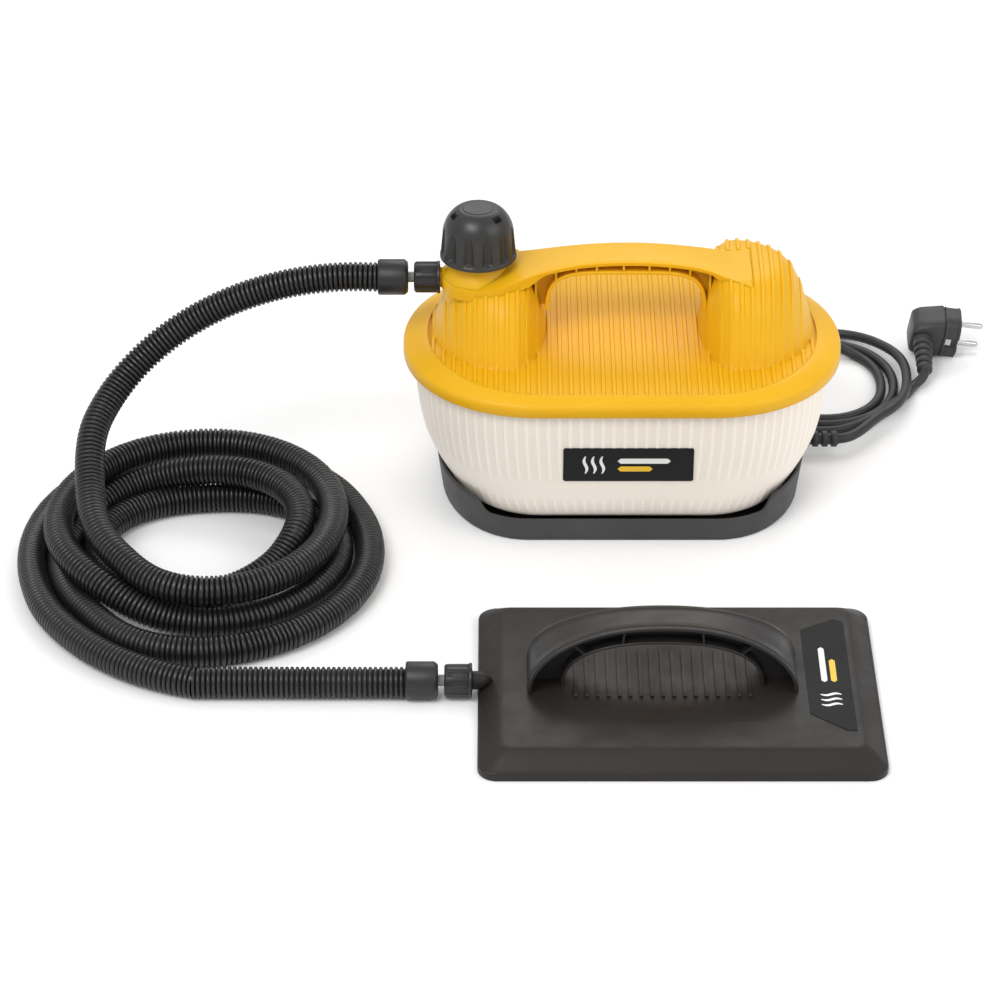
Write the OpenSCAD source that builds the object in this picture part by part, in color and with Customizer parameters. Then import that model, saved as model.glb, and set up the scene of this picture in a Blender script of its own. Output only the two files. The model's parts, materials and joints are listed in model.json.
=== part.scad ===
/* [Boiler] */
// Length of the lid's outline, end to end
lid_length = 328; // [324:1:332]
// Depth of the lid's outline, front to back
lid_depth = 214; // [210:1:218]
// Height of the joint between the tank and the lid
tank_top = 111; // [108:1:114]
// Height of the lid's top deck
deck_top = 128; // [126:1:130]
// Number of ribs that run front to back across the lid
lid_rib_count = 37; // [9:2:39]
// Height of the carrying handle's top
handle_top = 193.5; // [190:0.5:196]

/* [Filler cap] */
// Radius of the cap's rim
cap_radius = 28.5; // [27.5:0.5:29.5]
// Height of the cap, rim to dome
cap_height = 40; // [39:1:42]
// Number of finger flutes around the cap
flute_count = 12; // [8:2:16]
// Rise of the cap for each turn of its thread
cap_pitch = 4; // [3:0.5:5]

/* [Hose] */
// Outside diameter of the hose's wall
hose_diameter = 20.8; // [19:0.2:21]
// Bore of the hose
hose_bore = 15; // [13:0.5:16]
// Diameter of a hose nut over its grips
nut_diameter = 24.4; // [24:0.2:26]
// Radius of the thread inside a hose nut
thread_radius = 9; // [8.5:0.1:9]

/* [Steam plate] */
// Length of the steam plate along the hose
plate_length = 280; // [270:1:285]
// Width of the steam plate across the hose
plate_width = 208; // [200:1:212]
// Height of the plate's top table
plate_top = 18; // [17:0.5:19]
// Height of the strap handle's top above the ground
plate_handle_top = 66; // [60:1:70]

/* [Mains lead] */
// Diameter of the mains cord
cord_diameter = 7.7; // [7:0.1:8]
// Length of each plug pin
pin_length = 19; // [18:0.5:20]

/* [Hidden] */
$fn = 48;

gap = 0.05;             // radial clearance of a running fit
eps = 0.01;
skin = 2.5;             // wall of the moulded shells
sheet = 0.1;            // thickness of a slice that a hull joins
outline_steps = 72;
end_power = 2.1;        // squareness of the outlines' rounded ends
boiler_flat = 61;       // half of the straight length in the lid's and tank's outlines
tray_flat = 69;

lid_a = lid_length / 2;
lid_b = lid_depth / 2;
skirt_top = tank_top + 13;
tank_floor = 18;
tank_waist = 50;
tank_a = [129, 147, lid_a - 9];
tank_b = [91, 97, lid_b - 4];
tray_lip = 19;
tray_a = [135.5, 139.5];
tray_b = [96.5, 98.5];
tray_top = 30;
tray_floor = 4;
base_screw_x = 70;
base_screw_y = 62;
base_screw_radius = 1.8;
foot_x = 98;
foot_y = 62;
foot_radius = 9;

lid_border = 23;        // smooth border between the ribs and the lid's end
rib_pitch = 7.85;
rib_width = 2.8;
rib_height = 1.3;

neck_x = -107.6;
neck_radius = 19;
neck_top = 188;
insert_radius = 16;
insert_top = 193;
insert_length = 17;
plug_radius = 13.5;
plug_length = 18;
hump_x = 97;
hump_length = 43;       // half of a shoulder's length along the lid
hump_width = 62;        // half of its width across the lid
hump_top = 193;
handle_width = 33;
handle_thick = 11.5;
handle_inner = [-55, 59];
handle_arc = 375;       // radius of the handle's curved top

cap_floor = neck_top + 1;
cap_side = 27.9;        // radius of the cap's upright side
cap_dome = 12.5;        // rise of its domed shoulder
cap_disc = 13.7;        // radius of the flat disc on top
cap_roof = 3.5;         // thickness of the roof
cap_top = cap_floor + cap_height;
cap_inner = 24;
gasket_height = 2;
plug_flange_z = insert_top + gasket_height;
plug_flange_height = 4;
seat_z = plug_flange_z + plug_flange_height;
valve_bore = 4;
valve_stem = 3;
valve_head = 7;
head_height = 4;
retainer_z = 217;
retainer_thick = 2;
stem_length = 22;
spring_wire = 0.9;
spring_radius = 5;
spring_turns = 5;

element_x = 60;
element_hole = 22;
element_radius = 3.5;
element_z = 38;
loop_width = 26;        // distance between the heating element's two legs
loop_length = 110;
loop_bend = 8;

axis_z = 171;           // height of the tank's steam outlet
tank_nut_x = -136;      // inner end of the nut on the tank
plate_y = -302;
plate_x = 33;
plate_axis_z = 13;
plate_nut_x = -111;
nut_length = 19.4;
nut_grips = 8;
nut_wall_at = 17.2;     // where the nut's end wall starts
thread_length = 12;
spigot_neck = 7.5;      // radius of the tank spigot behind its thread
tail_radius = 4;
tail_bore = 2.6;
flange_radius = 8.2;
flange_height = 1.6;
washer_height = 1.4;
ring_height = 1;
cuff_start = 23.8;
cuff_length = 22.6;
cuff_radius = 13.4;
barb_radius = 6.8;
hose_radius = hose_diameter / 2;
hose_sides = 12;

coil_center = [-305, -118];
on_ground = hose_radius + 0.8;
on_top = on_ground + 22.5;
flex_x = -212;          // where the hose bends as the plate lifts
flex_gap = 5;

// One row for each place where the hose's curve changes: turn in degrees, reach from the coil's
// centre, height of the hose's centre line. The hose winds in from the tank and out to the plate.
coil_rows = [
    [145, 103, 84], [180, 87, 56], [225, 90, 42.5], [270, 102, 34.3],
    [360, 91, on_top], [450, 108, on_top], [540, 111, on_top], [585, 112, 31],
    [630, 108, on_ground], [720, 94, on_ground], [810, 66, on_ground], [900, 83, on_ground],
    [990, 69, on_ground], [1035, 66, 20], [1080, 67, on_top], [1170, 68, on_top],
    [1215, 92, 20.5], [1260, 106.5, on_ground], [1305, 123, on_ground],
    [1350, 145, on_ground], [1440, 117, on_ground], [1485, 118, on_ground],
    [1530, 133, on_ground], [1620, 130.5, on_ground], [1665, 148, on_ground],
    [1710, 184, on_ground]
];

plate_a = plate_length / 2;
plate_b = plate_width / 2;
plate_corner = 13;
plate_slope = 17;       // inset of the top table from the rim
plate_rim = 7;
plate_handle_x = -11.5; // handle's centre, from the plate's centre
foot_span = 188.5;
arch_span = 138;
grip_width = 30;
foot_width = 52;
grip_thick = 11;
grip_rib_count = 17;
grip_rib_pitch = 7.55;
grip_rib_length = 58;
grip_rib_width = 2.4;
grip_rib_height = 2.2;
screw_x = 82;
screw_y = 16;
spigot_radius = 5;      // radius of the plate spigot's shank

boot_y = 34;
boot_z = 11.5;
boot_radius = 6.2;
boot_hole = 5.2;
boot_start = 124.5;
boot_end = 170;
cord_radius = cord_diameter / 2;
cord_sides = 8;
cord_center = [165, 128];
cord_ground = cord_radius + 0.1;
cord_over = cord_ground + cord_diameter + 0.3;
// One row for each change of the cord's curve: turn in degrees, reach, height
cord_rows = [
    [-50, 70, cord_over], [0, 66, cord_over], [45, 78, cord_over - 3], [90, 88, cord_ground],
    [180, 62, cord_ground], [225, 60, cord_ground], [270, 60, cord_ground], [360, 56, cord_ground],
    [450, 72, cord_ground], [540, 52, cord_ground], [630, 51, cord_ground],
    [720, 46, cord_ground], [775, 58, cord_ground], [810, 61, cord_over],
    [855, 66, cord_over], [900, 72, cord_over], [945, 69, cord_ground],
    [990, 69.5, cord_ground], [1020, 61, cord_ground]
];
plug_origin = [258, 192, 20.5];
plug_turn = [12, 8, 0];
plug_depth = 38;
plug_span = 37;
plug_width = 30;
boot_root = 13;
pin_radius = 2.4;
pin_root = 2;           // radius of a pin's moulded-in root
pin_gap = 19;
cord_flex = [235, 125, cord_ground];    // where the cord bends as the plug swings
flex_step = [1, 3, 0];
cord_inner_x = 108.5;
boot_length = 38;       // of the plug's strain relief

// ---------- curves ----------

function rotate_x(v, a) = [v[0], v[1] * cos(a) - v[2] * sin(a), v[1] * sin(a) + v[2] * cos(a)];

function rotate_y(v, a) = [v[0] * cos(a) + v[2] * sin(a), v[1], -v[0] * sin(a) + v[2] * cos(a)];

function plug_point(v) = plug_origin + rotate_y(rotate_x(v, plug_turn[0]), plug_turn[1]);

function signed_power(v, p) = sign(v) * pow(abs(v), p);

// Straight front and back edges, joined by two rounded ends
function outline(a, b, flat) = [
    for (i = [0:outline_steps - 1])
        let (t = 360 * i / outline_steps, reach = signed_power(cos(t), 2 / end_power))
        [sign(reach) * flat + (a - flat) * reach, b * signed_power(sin(t), 2 / end_power)]
];

function spline_at(a, b, c, d, t) =
    (2 * b + (c - a) * t + (2 * a - 5 * b + 4 * c - d) * t * t
        + (3 * b - a - 3 * c + d) * t * t * t) / 2;

function spline(rows, steps) =
    let (n = len(rows), r = concat([2 * rows[0] - rows[1]], rows, [2 * rows[n - 1] - rows[n - 2]]))
    concat(
        [for (i = [0:n - 2], k = [0:steps - 1])
            spline_at(r[i], r[i + 1], r[i + 2], r[i + 3], k / steps)],
        [rows[n - 1]]
    );

function bezier(p, steps) = [
    for (i = [0:steps - 1])
        let (t = i / steps, s = 1 - t)
        s * s * s * p[0] + 3 * s * s * t * p[1] + 3 * s * t * t * p[2] + t * t * t * p[3]
];

function polar(center, row) =
    [center[0] + row[1] * cos(row[0]), center[1] + row[1] * sin(row[0]), row[2]];

function unit(v) = v / norm(v);

function heading(path, i) =
    unit(path[min(i + 1, len(path) - 1)] - path[max(i - 1, 0)]);

function ring(center, along, radius, sides) =
    let (u = unit(cross([0, 0, 1], along)), v = cross(along, u))
    [for (k = [0:sides - 1]) center + radius * (cos(360 * k / sides) * u + sin(360 * k / sides) * v)];

function rings(path, radius, sides) =
    [for (i = [0:len(path) - 1]) each ring(path[i], heading(path, i), radius, sides)];

function walls(stations, sides, first, inward) = [
    for (i = [0:stations - 2], k = [0:sides - 1])
        let (a = first + i * sides + k, b = first + i * sides + (k + 1) % sides)
        each (inward
            ? [[a, b, b + sides], [a, b + sides, a + sides]]
            : [[a, a + sides, b + sides], [a, b + sides, b]])
];

// The centre lines of the hose and the cord
hose_seat = cuff_start + 4.5;
tank_end = [tank_nut_x - hose_seat, 0, axis_z];
plate_end = [plate_nut_x - hose_seat, plate_y, plate_axis_z];
coil_points = [for (row = spline(coil_rows, 4)) polar(coil_center, row)];
coil_entry = [-22.7, -60.2, -28];
cord_coil = [for (row = spline(cord_rows, 5)) polar(cord_center, row)];
cord_last = cord_coil[len(cord_coil) - 1];
cord_tip = [boot_end, boot_y, boot_z];
boot_foot = [-plug_depth / 2 + 9, -plug_width / 2, 0];
boot_exit = plug_point(boot_foot - [0, boot_length, 0]);
boot_heading = unit(boot_exit - plug_point(boot_foot));

module solid_sweep(path, radius, sides) {
    last = (len(path) - 1) * sides;
    polyhedron(
        rings(path, radius, sides),
        concat(
            walls(len(path), sides, 0, false),
            [[for (k = [0:sides - 1]) k]],
            [[for (k = [sides - 1:-1:0]) last + k]]
        )
    );
}

module tube_sweep(path, outer, inner, sides) {
    n = len(path) * sides;
    last = n - sides;
    polyhedron(
        concat(rings(path, outer, sides), rings(path, inner, sides)),
        concat(
            walls(len(path), sides, 0, false),
            walls(len(path), sides, n, true),
            [for (k = [0:sides - 1]) let (j = (k + 1) % sides) each
                [[k, j, n + j], [k, n + j, n + k],
                 [last + j, last + k, n + last + k], [last + j, n + last + k, n + last + j]]]
        )
    );
}

// ---------- shared shapes ----------

module slab(a, b, flat, z, height) {
    translate([0, 0, z])
        linear_extrude(height) polygon(outline(a, b, flat));
}

module loft(a, b, flat, z0, z1) {
    hull() {
        slab(a[0], b[0], flat, z0, sheet);
        slab(a[1], b[1], flat, z1 - sheet, sheet);
    }
}

// The tank's outside, grown by a margin and lifted by a rise
module tank_form(margin, rise) {
    levels = [tank_floor + rise, tank_waist, tank_top + rise - sheet];
    hull()
        for (i = [0:2])
            slab(tank_a[i] + margin, tank_b[i] + margin, boiler_flat, levels[i], sheet);
}

module rounded_plate(a, b, corner, z, height) {
    translate([0, 0, z])
        linear_extrude(height)
            polygon([
                for (quarter = [0:3], step = [0:6])
                    let (
                        t = 90 * quarter + 15 * step,
                        sx = quarter == 0 || quarter == 3 ? 1 : -1,
                        sy = quarter < 2 ? 1 : -1
                    )
                    [sx * (a - corner) + corner * cos(t), sy * (b - corner) + corner * sin(t)]
            ]);
}

module washer(outer, inner, height) {
    difference() {
        cylinder(h = height, r = outer);
        translate([0, 0, -eps]) cylinder(h = height + 2 * eps, r = inner);
    }
}

// A screw that points up from its cross-slotted head
module screw(length, radius) {
    slot = 1.3 * radius;
    translate([0, 0, 1.5]) cylinder(h = length - 1.5, r = radius, $fn = 24);
    difference() {
        cylinder(h = 2, r = 2 * radius, $fn = 24);
        for (turn = [0, 90])
            rotate(turn) translate([-slot, -0.4, -eps]) cube([2 * slot, 0.8, 1]);
    }
}

// Places a hose fitting: its local +Z axis points along -X, away from the spigot
module fitting(x, y, z) {
    translate([x, y, z]) rotate([0, -90, 0]) children();
}

module on_tank() { fitting(tank_nut_x, 0, axis_z) children(); }
module on_plate() { fitting(plate_nut_x, plate_y, plate_axis_z) children(); }

// ---------- boiler body ----------

module tank() {
    color("oldlace")
        difference() {
            union() {
                tank_form(0, 0);
                for (sx = [-1, 1], sy = [-1, 1])
                    translate([sx * base_screw_x, sy * base_screw_y, tray_floor + 0.2])
                        cylinder(h = tank_floor - tray_floor + 1, r = 4.5);
            }
            for (sx = [-1, 1], sy = [-1, 1])
                translate([sx * base_screw_x, sy * base_screw_y, 0])
                    cylinder(h = tank_floor - 1, r = base_screw_radius + gap);
            tank_form(-skin, skin);
            translate([element_x, 0, 0]) cylinder(h = tank_floor + 2 * skin, r = element_hole);
        }
}

module lid_shell() {
    difference() {
        union() {
            slab(lid_a, lid_b, boiler_flat, tank_top, skirt_top - tank_top);
            hull() {
                slab(lid_a, lid_b, boiler_flat, skirt_top - sheet, sheet);
                slab(lid_a - 5, lid_b - 5, boiler_flat, deck_top - sheet, sheet);
            }
        }
        slab(lid_a - skin, lid_b - skin, boiler_flat, tank_top - eps, skirt_top - tank_top - skin);
    }
}

module lid_ribs() {
    intersection() {
        slab(lid_a - lid_border, lid_b - 12, boiler_flat, deck_top - 1, rib_height + 1);
        for (i = [0:lid_rib_count - 1])
            translate([(i - (lid_rib_count - 1) / 2) * rib_pitch - rib_width / 2, -lid_b, deck_top - 1])
                cube([rib_width, lid_depth, rib_height + 1]);
    }
}

// Ring under the lid that presses on the seal
module seal_land() {
    difference() {
        slab(tank_a[2], tank_b[2], boiler_flat, tank_top + 3.3, skirt_top - tank_top - skin - 3);
        slab(tank_a[2] - skin, tank_b[2] - skin, boiler_flat, tank_top, skirt_top - tank_top);
    }
}

// Shoulder that carries one end of the handle
module hump(x, half_length, half_width, top) {
    translate([x, 0, deck_top - 2])
        hull() {
            linear_extrude(sheet) scale([half_length, half_width]) circle(1, $fn = 40);
            translate([0, 0, (top - deck_top) * 0.6])
                linear_extrude(sheet) scale([half_length * 0.8, half_width * 0.55]) circle(1, $fn = 40);
            translate([0, 0, top - deck_top - sheet])
                linear_extrude(sheet) scale([half_length * 0.5, half_width * 0.27]) circle(1, $fn = 40);
        }
}

module handle_arch() {
    band = handle_inner[1] - handle_inner[0] + 60;
    middle = (handle_inner[0] + handle_inner[1]) / 2;
    translate([middle, handle_width / 2, 0])
        rotate([90, 0, 0])
            linear_extrude(handle_width)
                difference() {
                    intersection() {
                        translate([-band / 2, handle_top - 42]) square([band, 42]);
                        translate([0, handle_top - handle_arc]) circle(handle_arc, $fn = 240);
                    }
                    hull()
                        for (side = [-1, 1])
                            translate([side * (band / 2 - 44), handle_top - handle_thick - 14])
                                circle(14, $fn = 48);
                    translate([-band / 2 + 30, deck_top]) square([band - 60, 47]);
                }
}

// Long recesses in the handle's front and back, with cross ribs left between them
module handle_cells() {
    cell = 12;
    for (side = [-1, 1], i = [-4:4])
        translate([i * (cell + 2) + 4, side * (handle_width / 2 - 3), handle_top - handle_thick / 2 - 0.5])
            cube([cell, 12, handle_thick - 7], center = true);
}

// The space under the two shoulders
module hump_hollows() {
    translate([0, 0, -5]) {
        hump(hump_x - 10, hump_length - 4, hump_width - 4, hump_top + 1);
        difference() {
            hump(neck_x + 14, hump_length - 4, hump_width - 4, neck_top + 1);
            translate([neck_x, 0, tank_top]) cylinder(h = handle_top, r = neck_radius);
        }
    }
}

module lid() {
    shank = abs(tank_nut_x - neck_x) - insert_radius - 2;
    color("gold")
        difference() {
            union() {
                lid_shell();
                seal_land();
                lid_ribs();
                hump(hump_x - 10, hump_length, hump_width, hump_top);
                hump(neck_x + 14, hump_length, hump_width, neck_top);
                translate([neck_x, 0, deck_top - 2]) cylinder(h = neck_top - deck_top + 2, r = neck_radius);
                difference() {
                    handle_arch();
                    handle_cells();
                }
                on_tank() {
                    translate([0, 0, -shank]) cylinder(h = shank + 2, r = spigot_neck);
                    translate([0, 0, 1]) cylinder(h = thread_length, r = thread_radius);
                }
            }
            hump_hollows();
            translate([neck_x, 0, tank_top]) cylinder(h = handle_top, r = insert_radius);
            translate([neck_x, 0, neck_top]) cylinder(h = handle_top, r = cap_radius + 2);
            on_tank() translate([0, 0, -shank - 6]) cylinder(h = shank + 24, r = tail_radius);
        }
}

module lid_seal() {
    color("dimgray")
        difference() {
            slab(tank_a[2] - 0.2, tank_b[2] - 0.2, boiler_flat, tank_top + 0.2, 3);
            slab(tank_a[2] - skin, tank_b[2] - skin, boiler_flat, tank_top, 4);
        }
}

module neck_insert() {
    color("darkkhaki")
        translate([neck_x, 0, 0])
            difference() {
                union() {
                    translate([0, 0, insert_top - insert_length])
                        cylinder(h = insert_length, r = insert_radius - gap);
                    translate([0, 0, neck_top]) cylinder(h = insert_top - neck_top, r = insert_radius + 2.5);
                }
                translate([0, 0, axis_z]) cylinder(h = 50, r = plug_radius + gap);
            }
}

// The wing line: a low lip along the front and back, rising in steps to each end
module tray_cutter() {
    translate([0, 120, 0])
        rotate([90, 0, 0])
            linear_extrude(240)
                polygon([
                    [-110.5, tray_top + 1], [-109, 29], [-106, 25], [-103, 20.5], [-98, tray_lip],
                    [103, tray_lip], [106, 20], [109, 25], [111.5, 28.5], [113, tray_top + 1]
                ]);
}

module base_tray() {
    color("dimgray")
        difference() {
            loft(tray_a, tray_b, tray_flat, 0, tray_top);
            loft(
                [tray_a[0] - skin, tray_a[1] - skin],
                [tray_b[0] - skin, tray_b[1] - skin],
                tray_flat, tray_floor, tray_top + 1
            );
            tray_cutter();
            for (sx = [-1, 1], sy = [-1, 1])
                translate([sx * foot_x, sy * foot_y, -eps]) cylinder(h = 1.5, r = foot_radius + 0.2);
            for (sx = [-1, 1], sy = [-1, 1])
                translate([sx * base_screw_x, sy * base_screw_y, -1]) {
                    cylinder(h = 2.4 + 1, r = 3.8);
                    cylinder(h = 10, r = base_screw_radius + 0.2);
                }
            translate([boot_start - 4, boot_y, boot_z])
                rotate([0, 90, 0]) cylinder(h = 20, r = boot_hole);
        }
}

module feet() {
    color("black")
        for (sx = [-1, 1], sy = [-1, 1])
            translate([sx * foot_x, sy * foot_y, 0]) cylinder(h = 1.4, r = foot_radius);
}

module base_screws() {
    color("silver")
        for (sx = [-1, 1], sy = [-1, 1])
            translate([sx * base_screw_x, sy * base_screw_y, 0.3]) screw(15, base_screw_radius);
}

// ---------- heater and wiring ----------

module heating_element() {
    color("silver") {
        for (side = [-1, 1]) {
            translate([element_x, side * loop_width / 2, tray_floor + 12])
                cylinder(h = element_z - tray_floor - 12 - loop_bend, r = element_radius);
            translate([element_x - loop_bend, side * loop_width / 2, element_z - loop_bend])
                rotate([90, 0, 0]) rotate_extrude(angle = 90)
                    translate([loop_bend, 0]) circle(element_radius);
            translate([element_x - loop_bend - loop_length, side * loop_width / 2, element_z])
                rotate([0, 90, 0]) cylinder(h = loop_length, r = element_radius);
        }
        translate([element_x - loop_bend - loop_length, 0, element_z])
            rotate([0, 0, 90]) rotate_extrude(angle = 180)
                translate([loop_width / 2, 0]) circle(element_radius);
    }
}

module element_flange() {
    color("darkgoldenrod")
        translate([element_x, 0, tank_floor + skin + 1.2])
            difference() {
                cylinder(h = 3, r = element_hole + 6);
                for (side = [-1, 1])
                    translate([0, side * loop_width / 2, -eps]) cylinder(h = 4, r = element_radius + gap);
            }
}

module element_seal() {
    color("black")
        translate([element_x, 0, tank_floor + skin]) washer(element_hole + 5, element_hole + 0.5, 1.2);
}

module thermal_cutout() {
    color("ivory") translate([element_x - 40, -30, tray_floor + 0.2]) cylinder(h = 9, r = 9);
}

module terminal_block() {
    color("whitesmoke")
        translate([92, 22, tray_floor + 0.2])
            difference() {
                cube([14, 28, 8]);
                for (i = [0:2])
                    translate([7, 6 + i * 8, 3]) cylinder(h = 6, r = 1.8, $fn = 24);
            }
}

module terminal_cover() {
    color("dimgray")
        translate([90, 20, tray_floor + 0.1])
            difference() {
                cube([18, 32, 11]);
                translate([1.5, -1, -1]) cube([15, 34, 10.5]);
            }
}

// One insulated conductor, bent round a quarter circle
module wire(start, length, turn) {
    translate(start)
        rotate(turn) {
            rotate([0, 90, 0]) cylinder(h = length, r = 1.1, $fn = 24);
            translate([length, 8, 0])
                rotate(-90) rotate_extrude(angle = 90) translate([8, 0]) circle(1.1, $fn = 24);
        }
}

module internal_wires() {
    color("brown") wire([element_x + 8, 6, tray_floor + 4], 12, 0);
    color("royalblue") wire([element_x + 8, -6, tray_floor + 4], 15, 0);
    color("green") wire([element_x - 26, -30, tray_floor + 4], 40, 0);
}

module earth_tag() {
    color("silver")
        translate([element_x + 5, -40, tray_floor + 0.1])
            difference() {
                cube([16, 7, 0.8]);
                translate([12, 3.5, -1]) cylinder(h = 3, r = 2.1);
            }
}

// ---------- mains lead ----------

module cord_boot() {
    body = boot_end - boot_start;
    color("darkslategray")
        translate([boot_start, boot_y, boot_z])
            rotate([0, 90, 0])
                difference() {
                    union() {
                        cylinder(h = 2.7, r = boot_radius);
                        cylinder(h = 9.2, r = boot_hole - gap);
                        translate([0, 0, 8.7]) cylinder(h = body - 8.7, r = boot_radius - 1.8);
                        for (i = [0:4])
                            translate([0, 0, 10.7 + i * 7.2]) cylinder(h = 4.6, r = boot_radius);
                    }
                    translate([0, 0, -1]) cylinder(h = 60, r = cord_radius + gap);
                }
}

module cord_clamp() {
    color("dimgray")
        translate([112, boot_y, boot_z])
            rotate([0, 90, 0])
                difference() {
                    translate([-6, -9, 0]) cube([boot_z - tray_floor + 5.9, 18, 8]);
                    translate([0, 0, -1]) cylinder(h = 10, r = cord_radius + gap);
                }
}

module power_cord() {
    first = cord_coil[0];
    color("#2b2b2b")
        solid_sweep(
            concat(
                [[cord_inner_x, boot_y, boot_z], [boot_start, boot_y, boot_z]],
                bezier([cord_tip, cord_tip + [16, 0, 0], first - [14, 12, 0], first], 6),
                cord_coil,
                bezier([cord_last, cord_last + [10, 10, 0], cord_flex - [8, 14, 0], cord_flex - flex_step], 5),
                [cord_flex - flex_step]
            ),
            cord_radius, cord_sides
        );
}

module cord_lead() {
    start = cord_flex + flex_step;
    color("#2b2b2b")
        solid_sweep(
            concat(
                bezier([start, start + [3, 8, 0], boot_exit + 10 * boot_heading, boot_exit], 8),
                [boot_exit, boot_exit - 20 * boot_heading]
            ),
            cord_radius, cord_sides
        );
}

module plug_boot() {
    color("darkslategray")
        translate(plug_origin) rotate(plug_turn) translate(boot_foot) rotate([90, 0, 0])
            difference() {
                union() {
                    translate([0, 0, 0.1]) cylinder(h = boot_length - 0.1, r = 5.6);
                    for (i = [0:4])
                        translate([0, 0, 4 + i * 7]) cylinder(h = 4.6, r = 7.4 - i * 0.35);
                }
                translate([0, 0, 10]) cylinder(h = 40, r = cord_radius + gap);
            }
}

module plug_body() {
    color("darkslategray")
        translate(plug_origin) rotate(plug_turn)
            difference() {
                union() {
                    intersection() {
                        rotate([0, 90, 0])
                            translate([0, 0, -plug_depth / 2]) cylinder(h = plug_depth, r = plug_span / 2);
                        cube([plug_depth, plug_width, plug_span], center = true);
                    }
                    translate([-plug_depth / 2, -plug_width / 2, -boot_root])
                        cube([plug_depth - 14, plug_width, 2 * boot_root]);
                }
                for (side = [-1, 1]) {
                    translate([plug_depth / 2 - 12, side * plug_width / 2, 0])
                        cube([14, 5, 10], center = true);
                    translate([plug_depth / 2 - 14, 0, side * pin_gap / 2])
                        rotate([0, 90, 0]) cylinder(h = 20, r = pin_root);
                }
                translate([-plug_depth / 2 - 4, -plug_width, boot_root - 5])
                    rotate([0, -45, 0]) cube([20, 2 * plug_width, 20]);
            }
}

module plug_pins() {
    color("silver")
        translate(plug_origin) rotate(plug_turn)
            for (side = [-1, 1])
                translate([plug_depth / 2, 0, side * pin_gap / 2])
                    rotate([0, 90, 0]) {
                        cylinder(h = pin_length, r = pin_radius);
                        translate([0, 0, -13]) cylinder(h = 14, r = pin_root - gap);
                    }
}

module earth_clips() {
    color("silver")
        translate(plug_origin) rotate(plug_turn)
            for (side = [-1, 1])
                translate([plug_depth / 2 - 12, side * (plug_width / 2 - 2), 0])
                    cube([12, 0.8, 6], center = true);
}

// ---------- filler and safety cap ----------

module filler_cap() {
    shoulder = cap_top - cap_dome - 0.5;
    roof = cap_top - cap_roof;
    color("#484746")
        translate([neck_x, 0, 0])
            difference() {
                rotate_extrude($fn = 72)
                    polygon(concat(
                        [[cap_inner, cap_floor], [cap_radius, cap_floor], [cap_radius, cap_floor + 2.5],
                         [cap_side + 0.1, cap_floor + 3.5]],
                        [for (t = [0:15:90])
                            [cap_disc + (cap_side - cap_disc) * cos(t), shoulder + cap_dome * sin(t)]],
                        [[cap_disc - 0.7, cap_top], [0, cap_top], [0, roof], [cap_disc - 0.7, roof],
                         [cap_side - 7, shoulder + 5], [cap_inner, shoulder - 4]]
                    ));
                for (i = [0:flute_count - 1])
                    rotate(360 * i / flute_count + 15)
                        translate([cap_side + 2.8, 0, cap_floor + 4.5]) cylinder(h = cap_height, r = 4.5);
                for (i = [0:3])
                    rotate(90 * i + 45)
                        translate([cap_side - 9.4, 0, cap_top - 4]) cube([3, 9, 16], center = true);
            }
}

module cap_plug() {
    color("gray")
        translate([neck_x, 0, 0])
            difference() {
                union() {
                    translate([0, 0, plug_flange_z - plug_length]) cylinder(h = plug_length, r = plug_radius);
                    translate([0, 0, plug_flange_z])
                        cylinder(h = plug_flange_height, r = cap_inner - gap);
                }
                translate([0, 0, axis_z]) cylinder(h = 50, r = valve_bore);
                translate([0, 0, axis_z]) cylinder(h = plug_flange_z - 6 - axis_z, r = plug_radius - 3);
            }
}

module cap_gasket() {
    color("firebrick")
        translate([neck_x, 0, insert_top])
            washer(insert_radius + 1, plug_radius + gap, gasket_height);
}

module valve_plunger() {
    color("goldenrod")
        translate([neck_x, 0, 0]) {
            translate([0, 0, seat_z - 8]) cylinder(h = 8 + head_height, r = valve_bore - gap);
            translate([0, 0, seat_z]) cylinder(h = head_height, r = valve_head);
            translate([0, 0, seat_z]) cylinder(h = stem_length, r = valve_stem);
        }
}

module valve_spring() {
    bottom = seat_z + head_height + spring_wire + gap;
    height = retainer_z - spring_wire - bottom;
    steps = spring_turns * 12;
    color("silver")
        translate([neck_x, 0, 0])
            solid_sweep(
                [for (i = [0:steps])
                    let (t = 360 * spring_turns * i / steps)
                    [spring_radius * cos(t), spring_radius * sin(t), bottom + height * i / steps]],
                spring_wire, 6
            );
}

module valve_retainer() {
    color("gray")
        translate([neck_x, 0, retainer_z])
            difference() {
                union() {
                    cylinder(h = retainer_thick, r = 9);
                    translate([0, 0, retainer_thick])
                        washer(9, 7.5, cap_top - cap_roof - gap - retainer_z - retainer_thick);
                }
                translate([0, 0, -1]) cylinder(h = 20, r = valve_stem + gap);
            }
}

// ---------- hose and its fittings ----------

module hose_nut() {
    color("#1f1f1f")
        difference() {
            union() {
                cylinder(h = nut_length, r = nut_diameter / 2 - 0.8);
                cylinder(h = 2.5, r = nut_diameter / 2);
                for (i = [0:nut_grips - 1])
                    rotate(360 * i / nut_grips) translate([0, -2.6, 0])
                        cube([nut_diameter / 2, 5.2, nut_length - 1]);
            }
            translate([0, 0, -1]) cylinder(h = nut_wall_at + 1, r = thread_radius + gap);
            cylinder(h = nut_length + 1, r = tail_radius + 0.4);
        }
}

module seal_washer() {
    color("firebrick")
        translate([0, 0, 1 + thread_length]) washer(flange_radius, tail_radius, washer_height);
}

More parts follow.
